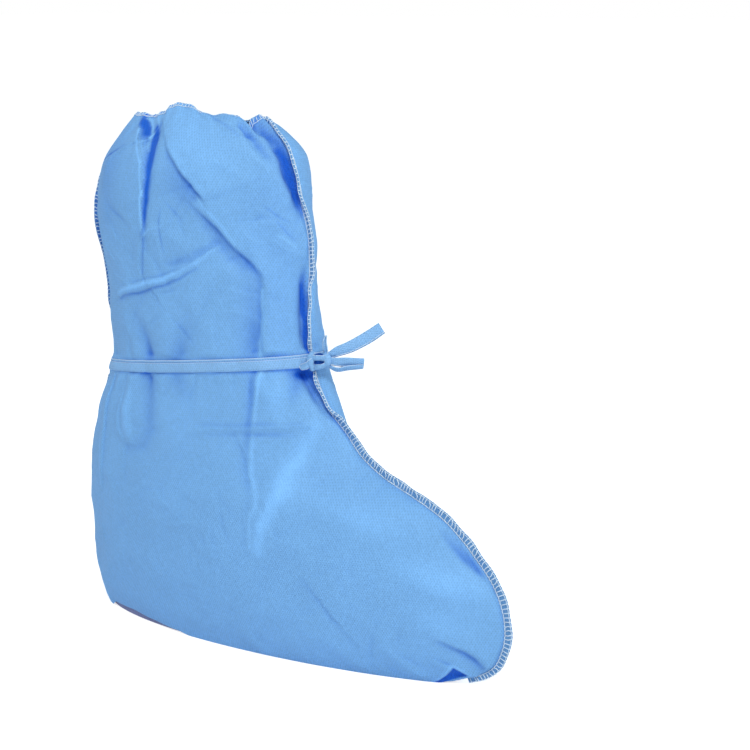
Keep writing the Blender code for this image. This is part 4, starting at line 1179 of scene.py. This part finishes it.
def make_sole():
    """The flat sole with its edge turned up inside the panels."""
    rim = around_at(0.0, -0.0004)
    centre = np.array((rim[:, 0].mean(), 0, 0))
    rings = [(share, 0.0005) for share in np.linspace(0.02, 0.97, 10)] + SOLE_EDGE
    points = np.array([centre + (rim - centre) * share for share, _ in rings])
    heights = np.array([height for _, height in rings])[:, None]
    points[..., 2] = heights + 0.0050 * smooth((points[..., 0] - 0.118) / 0.034)
    sole = grid_piece("sole_sheet", points, points[..., :2].copy(), closed=True)
    dress(sole, SOLE_FINISH, ("sole",))


def make_camera():
    """The photograph's view."""
    elevation = math.radians(11.5)
    level = math.cos(elevation)
    back = Vector((math.sin(VIEW_AZIMUTH) * level, -math.cos(VIEW_AZIMUTH) * level, math.sin(elevation)))
    data = bpy.data.cameras.new("camera")
    data.lens = 90.3
    data.sensor_width = 36
    camera = add_object("camera", data)
    camera.location = Vector((0.0745, 0, 0.2163)) + back * 1.35
    camera.rotation_euler = (-back).to_track_quat("-Z", "Y").to_euler()
    bpy.context.scene.camera = camera


def area_light(name, place, size, power, tint=(1, 1, 1)):
    """A square lamp that points at the cover's middle."""
    data = bpy.data.lights.new(name, "AREA")
    data.size = size
    data.energy = power
    data.color = tint
    light = add_object(name, data)
    light.location = place
    light.rotation_euler = (Vector((0, 0, 0.2)) - Vector(place)).to_track_quat("-Z", "Y").to_euler()


def make_studio():
    """A pale floor and soft white light."""
    bpy.ops.mesh.primitive_plane_add(size=60, location=(0, 0, 0))
    floor = bpy.context.object
    floor.name = "floor"
    material, tree, shader = new_material("floor_white")
    seen = add_node(tree, "LightPath").outputs["Is Camera Ray"]
    glow = reckon(tree, "ADD", reckon(tree, "MULTIPLY", seen, 0.60), 0.14)
    set_inputs(tree, shader, {"Base Color": (0.80, 0.80, 0.81, 1), "Roughness": 0.9,
                              "Specular IOR Level": 0.1, "Emission Color": (1, 1, 1, 1),
                              "Emission Strength": glow})
    floor.data.materials.append(material)
    world = bpy.data.worlds.new("studio")
    bpy.context.scene.world = world
    world.use_nodes = True
    tree = world.node_tree
    ambient = tree.nodes["Background"]
    set_inputs(tree, ambient, {"Color": (0.86, 0.95, 1.0, 1), "Strength": 0.44})
    backdrop = add_node(tree, "Background", {"Color": (1, 1, 1, 1)})
    seen = add_node(tree, "LightPath").outputs["Is Camera Ray"]
    either = add_node(tree, "MixShader", {"Fac": seen, 1: ambient.outputs[0], 2: backdrop.outputs[0]})
    tree.links.new(either.outputs[0], tree.nodes["World Output"].inputs["Surface"])
    area_light("key", (1.25, -1.15, 1.7), 0.6, 25.5, (1.0, 0.955, 0.90))
    area_light("back", (-1.3, -0.6, 1.3), 1.0, 6, (0.92, 0.97, 1.0))
    area_light("front", (1.7, 0.8, 1.1), 0.8, 7)
    bpy.context.scene.view_settings.view_transform = "Standard"


make_camera()
make_studio()
near_cloth = make_panel("near_panel_cloth", -1)
far_cloth = make_panel("far_panel_cloth", 1)
make_seam("front_seam_edge", 1, "front_seam", FRONT_LEAN)
make_seam("back_seam_edge", 0, "back_seam", BACK_LEAN)
hem_pieces = make_hem()
make_tie_band()
make_knot()
make_sole()
